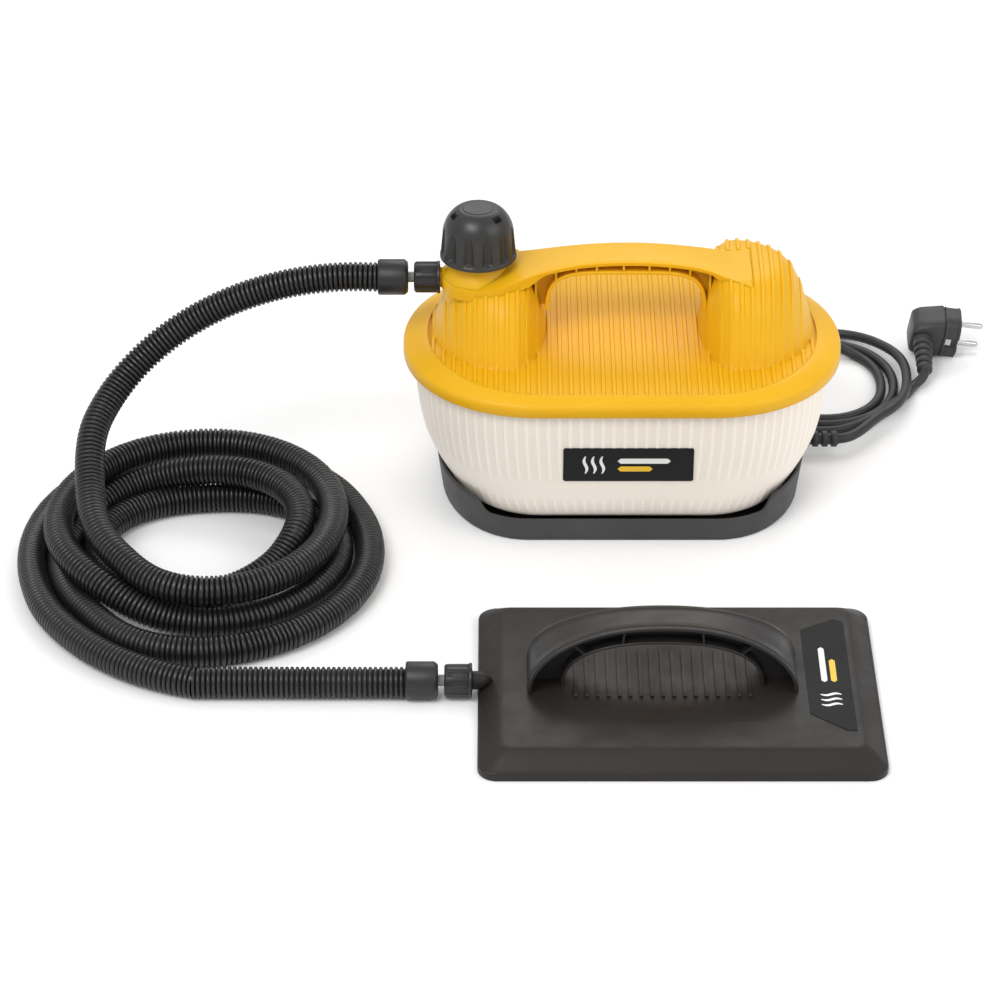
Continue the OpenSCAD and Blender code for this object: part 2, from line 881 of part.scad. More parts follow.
module hose_tail() {
    color("lightgray")
        difference() {
            union() {
                translate([0, 0, 1 + thread_length + washer_height])
                    cylinder(h = flange_height, r = flange_radius);
                translate([0, 0, 1 + thread_length + washer_height]) cylinder(h = 36, r = tail_radius);
                for (i = [0:2])
                    translate([0, 0, cuff_start + 6 + i * 5])
                        cylinder(h = 4, r1 = barb_radius, r2 = barb_radius - 1.2);
            }
            translate([0, 0, thread_length]) cylinder(h = 60, r = tail_bore);
        }
}

module thrust_ring() {
    color("white")
        translate([0, 0, 1 + thread_length + washer_height + flange_height + 0.2])
            washer(flange_radius, tail_radius + gap, ring_height);
}

module hose_cuff() {
    color("#1f1f1f")
        translate([0, 0, cuff_start])
            difference() {
                union() {
                    cylinder(h = 2, r1 = cuff_radius - 2, r2 = cuff_radius);
                    translate([0, 0, 2]) cylinder(h = cuff_length - 2, r = cuff_radius);
                }
                translate([0, 0, 4]) cylinder(h = cuff_length, r = hose_radius + 0.2);
                translate([0, 0, -1]) cylinder(h = 8, r = tail_radius + gap);
            }
}

module tank_nut() { on_tank() hose_nut(); }
module tank_thrust_ring() { on_tank() thrust_ring(); }
module tank_washer() { on_tank() seal_washer(); }
module tank_tail() { on_tank() hose_tail(); }
module tank_cuff() { on_tank() hose_cuff(); }
module plate_nut() { on_plate() hose_nut(); }
module plate_thrust_ring() { on_plate() thrust_ring(); }
module plate_washer() { on_plate() seal_washer(); }
module plate_tail() { on_plate() hose_tail(); }
module plate_cuff() { on_plate() hose_cuff(); }

module steam_hose() {
    first = coil_points[0];
    last = coil_points[len(coil_points) - 1];
    exit = [flex_x - flex_gap, plate_y, on_ground];
    color("#262626")
        tube_sweep(
            concat(
                [tank_end, tank_end - [15, 0, 0]],
                bezier([tank_end - [22, 0, 0], [-290, 0, 176], first - coil_entry, first], 10),
                coil_points,
                [for (k = [1:3]) last + (exit - last) * k / 3]
            ),
            hose_radius, hose_bore / 2, hose_sides
        );
}

module hose_lead() {
    start = [flex_x + flex_gap, plate_y, on_ground];
    color("#262626")
        tube_sweep(
            [start, start + (plate_end - start) / 2, plate_end - [14, 0, 0], plate_end],
            hose_radius, hose_bore / 2, hose_sides
        );
}

// ---------- steam plate ----------

module steam_plate() {
    color("#3c3834")
        translate([plate_x, plate_y, 0])
            difference() {
                union() {
                    rounded_plate(plate_a, plate_b, plate_corner, 0, plate_rim);
                    hull() {
                        rounded_plate(plate_a - 3, plate_b - 3, plate_corner, plate_rim - sheet, sheet);
                        rounded_plate(plate_a - plate_slope, plate_b - plate_slope, 8, plate_top - 2, sheet);
                    }
                    hull() {
                        rounded_plate(plate_a - plate_slope, plate_b - plate_slope, 8, plate_top - 2.5, sheet);
                        rounded_plate(plate_a - 48, plate_b - 40, 6, plate_top - sheet, sheet);
                    }
                    for (i = [0:grip_rib_count - 1])
                        translate([
                            plate_handle_x + (i - (grip_rib_count - 1) / 2) * grip_rib_pitch - grip_rib_width / 2,
                            -grip_rib_length / 2, plate_top - 1
                        ]) cube([grip_rib_width, grip_rib_length, grip_rib_height + 1]);
                }
                hull() {
                    rounded_plate(plate_a - skin, plate_b - skin, plate_corner - 2, -1, sheet);
                    rounded_plate(plate_a - skin, plate_b - skin, plate_corner - 2, plate_rim - 2, sheet);
                    rounded_plate(plate_a - plate_slope - 1, plate_b - plate_slope - 1, 8, plate_top - 5, sheet);
                }
                translate([-plate_a + 30, 0, plate_axis_z])
                    rotate([0, -90, 0]) cylinder(h = 60, r = spigot_radius);
                for (sx = [-1, 1], sy = [-1, 1])
                    translate([plate_handle_x + sx * screw_x, sy * screw_y, 5]) cylinder(h = 20, r = 2.1);
            }
}

module plate_spigot() {
    inlet = abs(plate_nut_x) + plate_x - plate_a;
    color("#2e2c2a")
        on_plate()
            difference() {
                union() {
                    translate([0, 0, -inlet - 30]) cylinder(h = inlet + 32, r = spigot_radius - gap);
                    translate([0, 0, -inlet + 0.2]) cylinder(h = 2, r = spigot_radius + 2);
                    translate([0, 0, 1]) cylinder(h = thread_length, r = thread_radius);
                }
                translate([0, 0, -60]) cylinder(h = 90, r = tail_radius - 0.8);
            }
}

module plate_handle() {
    foot_z = plate_top + 0.1;
    color("#3c3834")
        translate([plate_x + plate_handle_x, plate_y, 0])
            difference() {
                intersection() {
                    translate([0, foot_width / 2, 0])
                        rotate([90, 0, 0])
                            linear_extrude(foot_width)
                                difference() {
                                    hull() {
                                        translate([-foot_span / 2, foot_z]) square([foot_span, 1]);
                                        translate([-foot_span / 2 + 16, plate_handle_top - 6])
                                            square([foot_span - 32, 6]);
                                    }
                                    hull() {
                                        translate([-arch_span / 2, foot_z - 1]) square([arch_span, 1]);
                                        translate([-arch_span / 2 + 12, plate_handle_top - grip_thick - 4])
                                            square([arch_span - 24, 4]);
                                    }
                                }
                    translate([0, 0, foot_z])
                        rotate([90, 0, 90])
                            linear_extrude(foot_span, center = true)
                                hull() {
                                    translate([-foot_width / 2, 0]) square([foot_width, 1]);
                                    translate([-grip_width / 2, 24]) square([grip_width, plate_handle_top]);
                                }
                }
                for (sx = [-1, 1], sy = [-1, 1])
                    translate([sx * screw_x, sy * screw_y, 0]) cylinder(h = plate_top + 12, r = 1.8);
            }
}

module handle_screws() {
    color("silver")
        translate([plate_x + plate_handle_x, plate_y, 0])
            for (sx = [-1, 1], sy = [-1, 1])
                translate([sx * screw_x, sy * screw_y, plate_top - 7.2]) screw(16, 1.75);
}

// A blank panel with clipped corners
module panel(length, height, corner, thickness) {
    x = length / 2;
    y = height / 2;
    linear_extrude(thickness)
        polygon([
            [-x + corner, -y], [x - corner, -y], [x, -y + corner], [x, y - corner],
            [x - corner, y], [-x + corner, y], [-x, y - corner], [-x, -y + corner]
        ]);
}

module tank_label() {
    label_z = 68;
    color("#34393a")
        intersection() {
            translate([3, -tank_b[0] / 2, label_z]) rotate([90, 0, 0]) panel(96, 30, 2, tank_b[0]);
            difference() {
                tank_form(0.6, 0);
                tank_form(gap, 0);
            }
        }
}

module plate_label() {
    color("#34393a")
        translate([plate_x, plate_y, plate_top + 0.1])
            linear_extrude(0.6)
                polygon([[89, -47], [113, -67], [120, -67], [120, 68], [113, 72], [89, 58]]);
}

tank();
lid();
lid_seal();
neck_insert();
base_tray();
feet();
base_screws();
heating_element();
element_flange();
element_seal();
thermal_cutout();
terminal_block();
terminal_cover();
internal_wires();
earth_tag();
cord_boot();
cord_clamp();
power_cord();
tank_label();
filler_cap();
cap_plug();
cap_gasket();
valve_plunger();
valve_spring();
valve_retainer();
tank_nut();
tank_thrust_ring();
tank_washer();
tank_tail();
tank_cuff();
steam_hose();
hose_lead();
plate_cuff();
plate_tail();
plate_thrust_ring();
plate_nut();
plate_washer();
plate_spigot();
steam_plate();
plate_handle();
handle_screws();
plate_label();
cord_lead();
plug_boot();
plug_body();
plug_pins();
earth_clips();
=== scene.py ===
import json
import math

import bmesh
import bpy
from mathutils import Matrix, Vector


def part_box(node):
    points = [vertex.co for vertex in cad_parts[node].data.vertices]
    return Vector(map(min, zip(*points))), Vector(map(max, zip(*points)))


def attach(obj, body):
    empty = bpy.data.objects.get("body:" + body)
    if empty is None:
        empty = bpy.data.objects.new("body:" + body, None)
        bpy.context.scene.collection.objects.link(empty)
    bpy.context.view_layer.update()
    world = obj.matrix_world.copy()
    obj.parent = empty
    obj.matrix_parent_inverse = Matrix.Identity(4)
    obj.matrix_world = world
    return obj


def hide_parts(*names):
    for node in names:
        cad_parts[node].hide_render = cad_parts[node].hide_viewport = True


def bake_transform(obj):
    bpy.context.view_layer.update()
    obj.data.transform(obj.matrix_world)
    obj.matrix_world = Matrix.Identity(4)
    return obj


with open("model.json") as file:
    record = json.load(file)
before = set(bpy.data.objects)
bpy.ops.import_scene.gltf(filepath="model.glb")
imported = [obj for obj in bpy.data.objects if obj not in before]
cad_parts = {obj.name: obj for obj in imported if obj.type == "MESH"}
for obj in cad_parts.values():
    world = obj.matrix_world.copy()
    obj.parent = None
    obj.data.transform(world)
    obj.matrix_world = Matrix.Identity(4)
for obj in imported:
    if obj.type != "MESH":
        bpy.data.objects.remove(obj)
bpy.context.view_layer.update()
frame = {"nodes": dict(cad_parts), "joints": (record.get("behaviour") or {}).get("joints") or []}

# Lengths in this script are in millimetres. Shape.piece() turns them into metres.
MM = 0.001
TAU = 2 * math.pi
END_POWER = 2.1               # squareness of the boiler's rounded ends


# ---------- small helpers ----------

def box(node):
    """Lowest and highest corner of a CAD node, in millimetres."""
    low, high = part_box(node)
    return Vector(low) / MM, Vector(high) / MM


def joint_place(name):
    """Where a joint's axis passes, in millimetres."""
    return Vector(next(j for j in frame["joints"] if j["name"] == name)["pos_m"]) / MM


def smooth(t):
    """0 up to t = 0, 1 from t = 1 on, with soft ends."""
    t = min(1.0, max(0.0, t))
    return t * t * (3 - 2 * t)


def mix(a, b, t):
    return a + (b - a) * t


def signed_power(v, p):
    return math.copysign(abs(v) ** p, v)


def superellipse(a, b, power, steps):
    """Points round a rounded box: power 2 is an ellipse, and more is squarer."""
    points = []
    for i in range(steps):
        t = TAU * i / steps
        points.append((a * signed_power(math.cos(t), 2 / power),
                       b * signed_power(math.sin(t), 2 / power)))
    return points


def rounded_ends(a, b, flat, steps):
    """Straight front and back edges joined by rounded ends, in evenly spaced points from +X."""
    fine = []
    count = 720
    for i in range(count):
        t = TAU * i / count
        side = 0 if i in (count // 4, 3 * count // 4) else math.copysign(1, math.cos(t))
        fine.append((side * flat + (a - flat) * signed_power(math.cos(t), 2 / END_POWER),
                     b * signed_power(math.sin(t), 2 / END_POWER)))
    fine.append(fine[0])
    lengths = [0.0]
    for p, q in zip(fine, fine[1:]):
        lengths.append(lengths[-1] + math.dist(p, q))
    points, k = [], 0
    for i in range(steps):
        want = lengths[-1] * i / steps
        while lengths[k + 1] < want:
            k += 1
        t = (want - lengths[k]) / (lengths[k + 1] - lengths[k])
        points.append((mix(fine[k][0], fine[k + 1][0], t), mix(fine[k][1], fine[k + 1][1], t)))
    return points


def table_at(rows, x):
    """Smooth curve through (x, value) rows."""
    if x <= rows[0][0]:
        return rows[0][1]
    if x >= rows[-1][0]:
        return rows[-1][1]
    i = next(k for k in range(len(rows) - 1) if x <= rows[k + 1][0])
    slopes = []
    for k in (i, i + 1):
        before, after = rows[max(k - 1, 0)], rows[min(k + 1, len(rows) - 1)]
        slopes.append((after[1] - before[1]) / (after[0] - before[0]))
    (x0, v0), (x1, v1) = rows[i], rows[i + 1]
    width = x1 - x0
    t = (x - x0) / width
    return (v0 * (1 + 2 * t) * (1 - t) ** 2 + slopes[0] * width * t * (1 - t) ** 2
            + v1 * t * t * (3 - 2 * t) - slopes[1] * width * t * t * (1 - t))


def rounded_rectangle(a, b, corner, arc_steps, side_steps):
    """Anticlockwise from the middle of the +X side's top corner."""
    points = []
    for quarter, (sx, sy) in enumerate([(1, 1), (-1, 1), (-1, -1), (1, -1)]):
        for i in range(arc_steps + 1):
            t = math.pi / 2 * (quarter + i / arc_steps)
            points.append((sx * (a - corner) + corner * math.cos(t),
                           sy * (b - corner) + corner * math.sin(t)))
        nx, ny = [(-1, 1), (-1, -1), (1, -1), (1, 1)][quarter]
        t = math.pi / 2 * (quarter + 1)
        end = (nx * (a - corner) + corner * math.cos(t), ny * (b - corner) + corner * math.sin(t))
        start = points[-1]
        for i in range(1, side_steps):
            share = i / side_steps
            points.append((mix(start[0], end[0], share), mix(start[1], end[1], share)))
    return points


def path_frame(path, i):
    """The level direction across a path at one of its points, and the direction over it."""
    along = (path[min(i + 1, len(path) - 1)] - path[max(i - 1, 0)]).normalized()
    side = Vector((0, 0, 1)).cross(along).normalized()
    return side, along.cross(side)


class Shape:
    """Closed shells that make up one piece, in millimetres."""

    def __init__(self):
        self.verts, self.faces, self.marks, self.shade = [], [], [], []

    def add(self, verts, faces, matrix=None, mark=0, shade=None):
        first = len(self.verts)
        for i, v in enumerate(verts):
            v = Vector(v)
            self.verts.append(matrix @ v if matrix else v)
            self.shade.append(shade[i] if shade else 0.0)
        self.faces += [[first + i for i in f] for f in faces]
        self.marks += [mark] * len(faces)

    def rings(self, rings, matrix=None, mark=0, closed=False, shade=None):
        """A skin over rings of equally many points, with flat ends unless it closes on itself."""
        n = len(rings[0])
        verts = [p for ring in rings for p in ring]
        faces = []
        for i in range(len(rings) - (0 if closed else 1)):
            j = (i + 1) % len(rings)
            for k in range(n):
                m = (k + 1) % n
                faces.append([i * n + k, i * n + m, j * n + m, j * n + k])
        if not closed:
            last = (len(rings) - 1) * n
            faces.append([k for k in range(n)][::-1])
            faces.append([last + k for k in range(n)])
        self.add(verts, faces, matrix, mark, shade)

    def lathe(self, profile, steps, matrix, closed=False, radius=None):
        """Turns (radius, height) pairs round Z. radius(angle, r, z) may reshape them."""
        rings = []
        for r, z in profile:
            ring = []
            for k in range(steps):
                t = TAU * k / steps
                q = radius(t, r, z) if radius else r
                ring.append((q * math.cos(t), q * math.sin(t), z))
            rings.append(ring)
        self.rings(rings, matrix, closed=closed)

    def prism(self, outline, low, high, matrix=None):
        self.rings([[(x, y, z) for x, y in outline] for z in (low, high)], matrix)

    def block(self, low, high, edge):
        """A bar between two corners, with its long edges taken off."""
        x0, y0, z0 = low
        x1, y1, z1 = high
        cx, cy = (x0 + x1) / 2, (y0 + y1) / 2
        corners = [(x0, y0), (x1, y0), (x1, y1), (x0, y1)]
        rings = []
        for inset, z in ((edge, z0), (0, z0 + edge), (0, z1 - edge), (edge, z1)):
            ring = []
            for x, y in corners:
                d = math.hypot(x - cx, y - cy)
                ring.append((x - inset * (x - cx) / d, y - inset * (y - cy) / d, z))
            rings.append(ring)
        self.rings(rings)

    def sweep(self, path, section):
        """Carries a section, a list of (side, up) offsets for each path point, along a path."""
        rings = []
        for i, p in enumerate(path):
            side, top = path_frame(path, i)
            rings.append([p + side * s + top * t for s, t in section(i)])
        self.rings(rings)

    def piece(self, name, body, nodes, materials, slot, sharp=38):
        mesh = bpy.data.meshes.new(name)
        mesh.from_pydata([v * MM for v in self.verts], [], self.faces)
        for m in materials:
            mesh.materials.append(m)
        for polygon, mark in zip(mesh.polygons, self.marks):
            polygon.material_index = mark
        # The 'shade' attribute carries painted light and shade on the ribs, for the tank and hose materials.
        attribute = mesh.attributes.new("shade", "FLOAT", "POINT")
        attribute.data.foreach_set("value", self.shade)
        work = bmesh.new()
        work.from_mesh(mesh)
        bmesh.ops.remove_doubles(work, verts=work.verts, dist=1e-7)
        bmesh.ops.recalc_face_normals(work, faces=work.faces)
        work.to_mesh(mesh)
        work.free()
        for polygon in mesh.polygons:
            polygon.use_smooth = True
        mesh.set_sharp_from_angle(angle=math.radians(sharp))
        obj = bpy.data.objects.new(name, mesh)
        bpy.context.scene.collection.objects.link(obj)
        if body:
            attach(obj, body)
        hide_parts(*nodes)
        return obj


def nut_axis(node):
    """The middle of a hose nut's inner end."""
    low, high = box(node)
    return Vector((high.x, (low.y + high.y) / 2, (low.z + high.z) / 2))


TANK_AXIS, PLATE_AXIS = nut_axis("tank_nut"), nut_axis("plate_nut")


# ---------- materials ----------

def srgb(r, g, b):
    def linear(v):
        v /= 255
        return v / 12.92 if v <= 0.04045 else ((v + 0.055) / 1.055) ** 2.4
    return (linear(r), linear(g), linear(b), 1.0)


class Nodes:
    """A material's node tree with short calls for what this scene needs."""

    def __init__(self, name):
        self.material = bpy.data.materials.new(name)
        self.material.use_nodes = True
        self.tree = self.material.node_tree
        self.shader = self.tree.nodes["Principled BSDF"]
        self.place = self.tree.nodes.new("ShaderNodeTexCoord").outputs["Object"]

    def link(self, a, b):
        self.tree.links.new(a, b)

    def noise(self, scale, detail=3.0, roughness=0.5, stretch=None):
        node = self.tree.nodes.new("ShaderNodeTexNoise")
        node.inputs["Scale"].default_value = scale
        node.inputs["Detail"].default_value = detail
        node.inputs["Roughness"].default_value = roughness
        source = self.place
        if stretch:
            mapping = self.tree.nodes.new("ShaderNodeMapping")
            mapping.inputs["Scale"].default_value = stretch
            self.link(source, mapping.inputs["Vector"])
            source = mapping.outputs["Vector"]
        self.link(source, node.inputs["Vector"])
        return node.outputs["Fac"]

    def remap(self, value, low, high, to_low, to_high):
        node = self.tree.nodes.new("ShaderNodeMapRange")
        for name, v in zip(("From Min", "From Max", "To Min", "To Max"), (low, high, to_low, to_high)):
            node.inputs[name].default_value = v
        self.link(value, node.inputs["Value"])
        return node.outputs["Result"]

    def blend(self, factor, a, b):
        node = self.tree.nodes.new("ShaderNodeMix")
        node.data_type = "RGBA"
        self.link(factor, node.inputs["Factor"])
        for value, socket in ((a, node.inputs["A"]), (b, node.inputs["B"])):
            if isinstance(value, tuple):
                socket.default_value = value
            else:
                self.link(value, socket)
        return node.outputs["Result"]

    def bump(self, height, strength, distance, before=None):
        node = self.tree.nodes.new("ShaderNodeBump")
        node.inputs["Strength"].default_value = strength
        node.inputs["Distance"].default_value = distance
        self.link(height, node.inputs["Height"])
        if before:
            self.link(before, node.inputs["Normal"])
        return node.outputs["Normal"]

    def attribute(self, name):
        node = self.tree.nodes.new("ShaderNodeAttribute")
        node.attribute_name = name
        return node.outputs["Fac"]


def plastic(name, colour, other, roughness, grain, grain_scale=1400, scuff=0.12, gloss=0.5):
    """Moulded plastic: slow colour drift, fine grain, and patches that are duller from handling."""
    n = Nodes(name)
    drift = n.remap(n.noise(11, 4), 0.35, 0.65, 0, 1)
    colour_out = n.blend(drift, srgb(*colour), srgb(*other))
    n.link(colour_out, n.shader.inputs["Base Color"])
    wear = n.remap(n.noise(38, 6, 0.65), 0.4, 0.7, roughness, roughness + scuff)
    n.link(wear, n.shader.inputs["Roughness"])
    coarse = n.bump(n.noise(90, 1), 0.05, 0.0003)
    fine = n.bump(n.noise(grain_scale, 2), grain, 0.00008, coarse)
    n.link(fine, n.shader.inputs["Normal"])
    n.shader.inputs["IOR"].default_value = 1.48
    n.shader.inputs["Specular IOR Level"].default_value = gloss
    return n


def metal(name, colour, roughness, brushed):
    """Bright metal with fine streaks along the way it was worked."""
    n = Nodes(name)
    n.shader.inputs["Metallic"].default_value = 1.0
    streak = n.noise(900, 4, 0.6, brushed)
    tint = n.remap(streak, 0.3, 0.7, 0, 1)
    darker = [int(c * 0.86) for c in colour]
    n.link(n.blend(tint, srgb(*colour), srgb(*darker)), n.shader.inputs["Base Color"])
    n.link(n.remap(streak, 0.3, 0.7, roughness, roughness + 0.12), n.shader.inputs["Roughness"])
    n.link(n.bump(streak, 0.15, 0.00005), n.shader.inputs["Normal"])
    return n


def ivory_material():
    """Milky tank plastic. Its rib crests are painted lighter and its grooves darker, as light and shade on the
    ribs.
    """
    n = plastic("ivory_tank", (228, 218, 206), (222, 211, 198), 0.42, 0.12, 1800, 0.08)
    drift = n.remap(n.noise(9, 3), 0.3, 0.7, 0, 1)
    crest = n.blend(drift, srgb(247, 240, 230), srgb(243, 235, 224))
    groove = n.blend(drift, srgb(238, 229, 217), srgb(234, 224, 212))
    # Painted highlight on the rib crests and painted shade in the grooves, driven by the 'shade' attribute.
    n.link(n.blend(n.attribute("shade"), groove, crest), n.shader.inputs["Base Color"])
    n.shader.inputs["Subsurface Weight"].default_value = 0.12
    n.shader.inputs["Subsurface Radius"].default_value = (0.004, 0.0035, 0.003)
    return n.material


def yellow_material():
    """Glossy lid plastic that light soaks into, so its narrow ribs glow instead of casting hard lines."""
    n = plastic("yellow_lid", (228, 175, 24), (224, 170, 19), 0.38, 0.05, 1500, 0.08, 0.26)
    n.shader.inputs["Subsurface Weight"].default_value = 0.4
    n.shader.inputs["Subsurface Radius"].default_value = (0.0035, 0.0025, 0.001)
    n.shader.inputs["Subsurface Scale"].default_value = 1.0
    return n.material


def hose_material():
    """Corrugated hose with painted shade: the grooves are coloured near black and stay dull, the crests shine."""
    n = plastic("hose_black", (46, 46, 47), (38, 38, 39), 0.3, 0.15, 1500, 0.15)
    shade = n.attribute("shade")
    drift = n.remap(n.noise(30, 3), 0.35, 0.65, 0, 1)
    crest = n.blend(drift, srgb(36, 35, 35), srgb(28, 27, 27))
    # Painted shade: the grooves are coloured near black, and the crests take the hose colour.
    n.link(n.blend(shade, srgb(9, 9, 9), crest), n.shader.inputs["Base Color"])
    n.link(n.remap(shade, 0, 1, 0.6, 0.3), n.shader.inputs["Roughness"])
    return n.material


YELLOW = yellow_material()
IVORY = ivory_material()
TRAY = plastic("tray_grey", (60, 59, 59), (52, 51, 51), 0.48, 0.5, 1300, 0.15).material
CAP = plastic("cap_grey", (44, 43, 42), (37, 36, 35), 0.33, 0.22, 1600, 0.14).material
VENT = plastic("vent_shadow", (16, 16, 16), (10, 10, 10), 0.7, 0.2).material
BLACK = plastic("fitting_black", (33, 32, 32), (26, 25, 25), 0.34, 0.25, 1500, 0.14).material
HOSE = hose_material()
PLATE = plastic("plate_charcoal", (38, 35, 33), (35, 31, 29), 0.42, 0.45, 1200, 0.14, 0.32).material
STRAP = plastic("strap_charcoal", (41, 39, 38), (35, 33, 32), 0.38, 0.35, 1300, 0.14, 0.4).material
LABEL = plastic("label_film", (29, 30, 31), (26, 28, 28), 0.55, 0.05, 900, 0.05, 0.18).material
INK_WHITE = plastic("label_white", (232, 232, 230), (224, 224, 222), 0.35, 0.05).material
INK_YELLOW = plastic("label_yellow", (238, 190, 40), (230, 182, 36), 0.35, 0.05).material
CORD = plastic("cord_grey", (36, 36, 38), (30, 30, 32), 0.4, 0.35, 1100, 0.12).material
PLUG = plastic("plug_grey", (48, 48, 49), (41, 41, 42), 0.42, 0.4, 1200, 0.12).material
SEAL = plastic("silicone_red", (150, 52, 40), (132, 44, 34), 0.55, 0.3).material
RUBBER = plastic("foot_rubber", (34, 34, 34), (26, 26, 26), 0.72, 0.7, 900, 0.15).material
MILKY = plastic("milky_tail", (150, 150, 146), (128, 128, 124), 0.25, 0.1, 1500, 0.08).material
WHITE = plastic("white_moulding", (226, 226, 220), (216, 216, 210), 0.4, 0.2).material
GREY = plastic("grey_moulding", (120, 120, 118), (108, 108, 106), 0.42, 0.25).material
WIRE = plastic("wire_insulation", (134, 84, 46), (112, 66, 36), 0.42, 0.15).material
STEEL = metal("bright_steel", (205, 205, 202), 0.24, (1, 1, 12)).material
PLATED = metal("plated_brass", (214, 214, 212), 0.16, (10, 1, 1)).material
BRASS = metal("turned_brass", (198, 164, 92), 0.25, (1, 1, 14)).material


def dress_cad_nodes():
    """Materials for the CAD nodes that stay in view."""
    groups = {
        RUBBER: ("feet", "lid_seal", "element_seal"),
        STEEL: ("base_screws", "heating_element", "valve_spring"),
        BRASS: ("element_flange", "valve_plunger"),
        PLATED: ("earth_tag", "earth_clips"),
        WHITE: ("thermal_cutout", "terminal_block", "tank_thrust_ring", "plate_thrust_ring"),
        TRAY: ("terminal_cover", "cord_clamp"),
        WIRE: ("internal_wires",),
        YELLOW: ("neck_insert",),
        GREY: ("cap_plug", "valve_retainer"),
        SEAL: ("cap_gasket", "tank_washer", "plate_washer"),
        MILKY: ("tank_tail", "plate_tail"),
    }
    for material, names in groups.items():
        for name in names:
            mesh = frame["nodes"][name].data
            mesh.materials.clear()
            mesh.materials.append(material)


# ---------- lid ----------

LID_LOW, LID_HIGH = box("lid")
LID_A, LID_B, LID_FLAT = LID_HIGH.x, LID_HIGH.y, 61
PANEL_A, PANEL_B = LID_A - 18, LID_B - 11     # the ribbed field
SKIRT = 8                     # height of the lid's upright edge
DECK = LID_LOW.z + 17.4
RIB_COUNT, RIB_PITCH = 37, 7.85
RIB_CREST, RIB_FOOT, RIB_RISE, VALLEY = 1.0, 1.7, 1.4, 1.3
HUMP_X, HUMP_IN, HUMP_OUT = 84, 27, 59
HUMP_Y, HUMP_FRONT, HUMP_BACK = 6, 69, 57
HUMP_LEFT, HUMP_RIGHT = 50, 57.5              # heights of the two shoulders
CAP_LOW, CAP_HIGH = box("filler_cap")
NECK_X = (CAP_LOW.x + CAP_HIGH.x) / 2
COLLAR = 28                   # radius of the smooth collar round the neck
BAND_X, BAND_TOP, BAND_ARC, BAND_HALF = 6, 193, 750, 16.8
BAND_END = 94.5
COLLAR_Z = 175.8
OPEN_X, OPEN_A, OPEN_TOP = 2, 58.5, 182
# Reach of the handle's top skin to the front and to the back, along X
BAND_FRONT = [(NECK_X, 31), (-93, 34.5), (-82, 30.5), (-67, 24), (-49, 20), (-30, 17.4), (6, 16.8),
              (48, 18.7), (65, 22.8), (BAND_END, 36)]
BAND_BACK = [(NECK_X, 28), (-90, 24), (-70, 18.5), (-49, 16.8), (6, 16), (66, 15.4), (BAND_END, 19)]


def panel_half(x):
    """Half the depth of the ribbed field at x."""
    reach = max(0.0, (abs(x) - LID_FLAT) / (PANEL_A - LID_FLAT))
    return PANEL_B * (1 - reach ** END_POWER) ** (1 / END_POWER)


def deck_height(x, y):
    return DECK - 3.4 * (abs(y) / PANEL_B) ** 3.5 - 1.6 * (abs(x) / PANEL_A) ** 6


def hump_height(x, y):
    """Height of the two shoulders that carry the handle."""
    out = abs(x) - HUMP_X
    back = y - HUMP_Y
    r = math.hypot(out / (HUMP_OUT if out > 0 else HUMP_IN),
                   back / (HUMP_BACK if back > 0 else HUMP_FRONT))
    top, power = (HUMP_RIGHT, 3.0) if x > 0 else (HUMP_LEFT, 2.6)
    return top * math.cos(math.pi / 2 * r ** power) if r < 1 else 0.0


def band_height(x):
    arc = BAND_TOP - (x - BAND_X) ** 2 / BAND_ARC
    return max(arc, COLLAR_Z) if x < 0 else arc


def band_reach(x, rows):
    if x < NECK_X:
        return rows[0][1] * math.sqrt(max(0.0, 1 - ((x - NECK_X) / COLLAR) ** 2))
    return table_at(rows, x)


def shoulder(x, y):
    """The lid between its ribs."""
    return deck_height(x, y) - VALLEY + hump_height(x, y)


def skin_height(x, y):
    """Top of the handle's skin, which sinks into the right shoulder."""
    share = y / max(0.6, band_reach(x, BAND_BACK if y > 0 else BAND_FRONT))
    z = band_height(x) - 0.9 * abs(share) ** 6 - 0.5 * share ** 2
    return mix(z, shoulder(x, y) + 0.5, smooth((x - 66) / (BAND_END - 66)))


def under_skin(x, y):
    margin = 0.6
    front, back = band_reach(x, BAND_FRONT) - margin, band_reach(x, BAND_BACK) - margin
    return x < BAND_END and -front < y < back


def rib_profile(x):
    """1 on a rib's crest, 0 between ribs."""
    k = min(RIB_COUNT // 2, max(-(RIB_COUNT // 2), round(x / RIB_PITCH)))
    return smooth((RIB_FOOT - abs(x - k * RIB_PITCH)) / (RIB_FOOT - RIB_CREST))


def deck_surface(x, y):
    """The ribbed lid. Ribs stand higher where the shoulders are steep, and stop under the skin."""
    step = 0.5
    slope_x = (hump_height(x + step, y) - hump_height(x - step, y)) / (2 * step)
    slope_y = (hump_height(x, y + step) - hump_height(x, y - step)) / (2 * step)
    lift = min(1.5, math.sqrt(1 + slope_x ** 2 + slope_y ** 2))
    z = shoulder(x, y) + RIB_RISE * rib_profile(x) * lift
    if under_skin(x, y):
        z = min(z, skin_height(x, y) - 1.6)
    return z


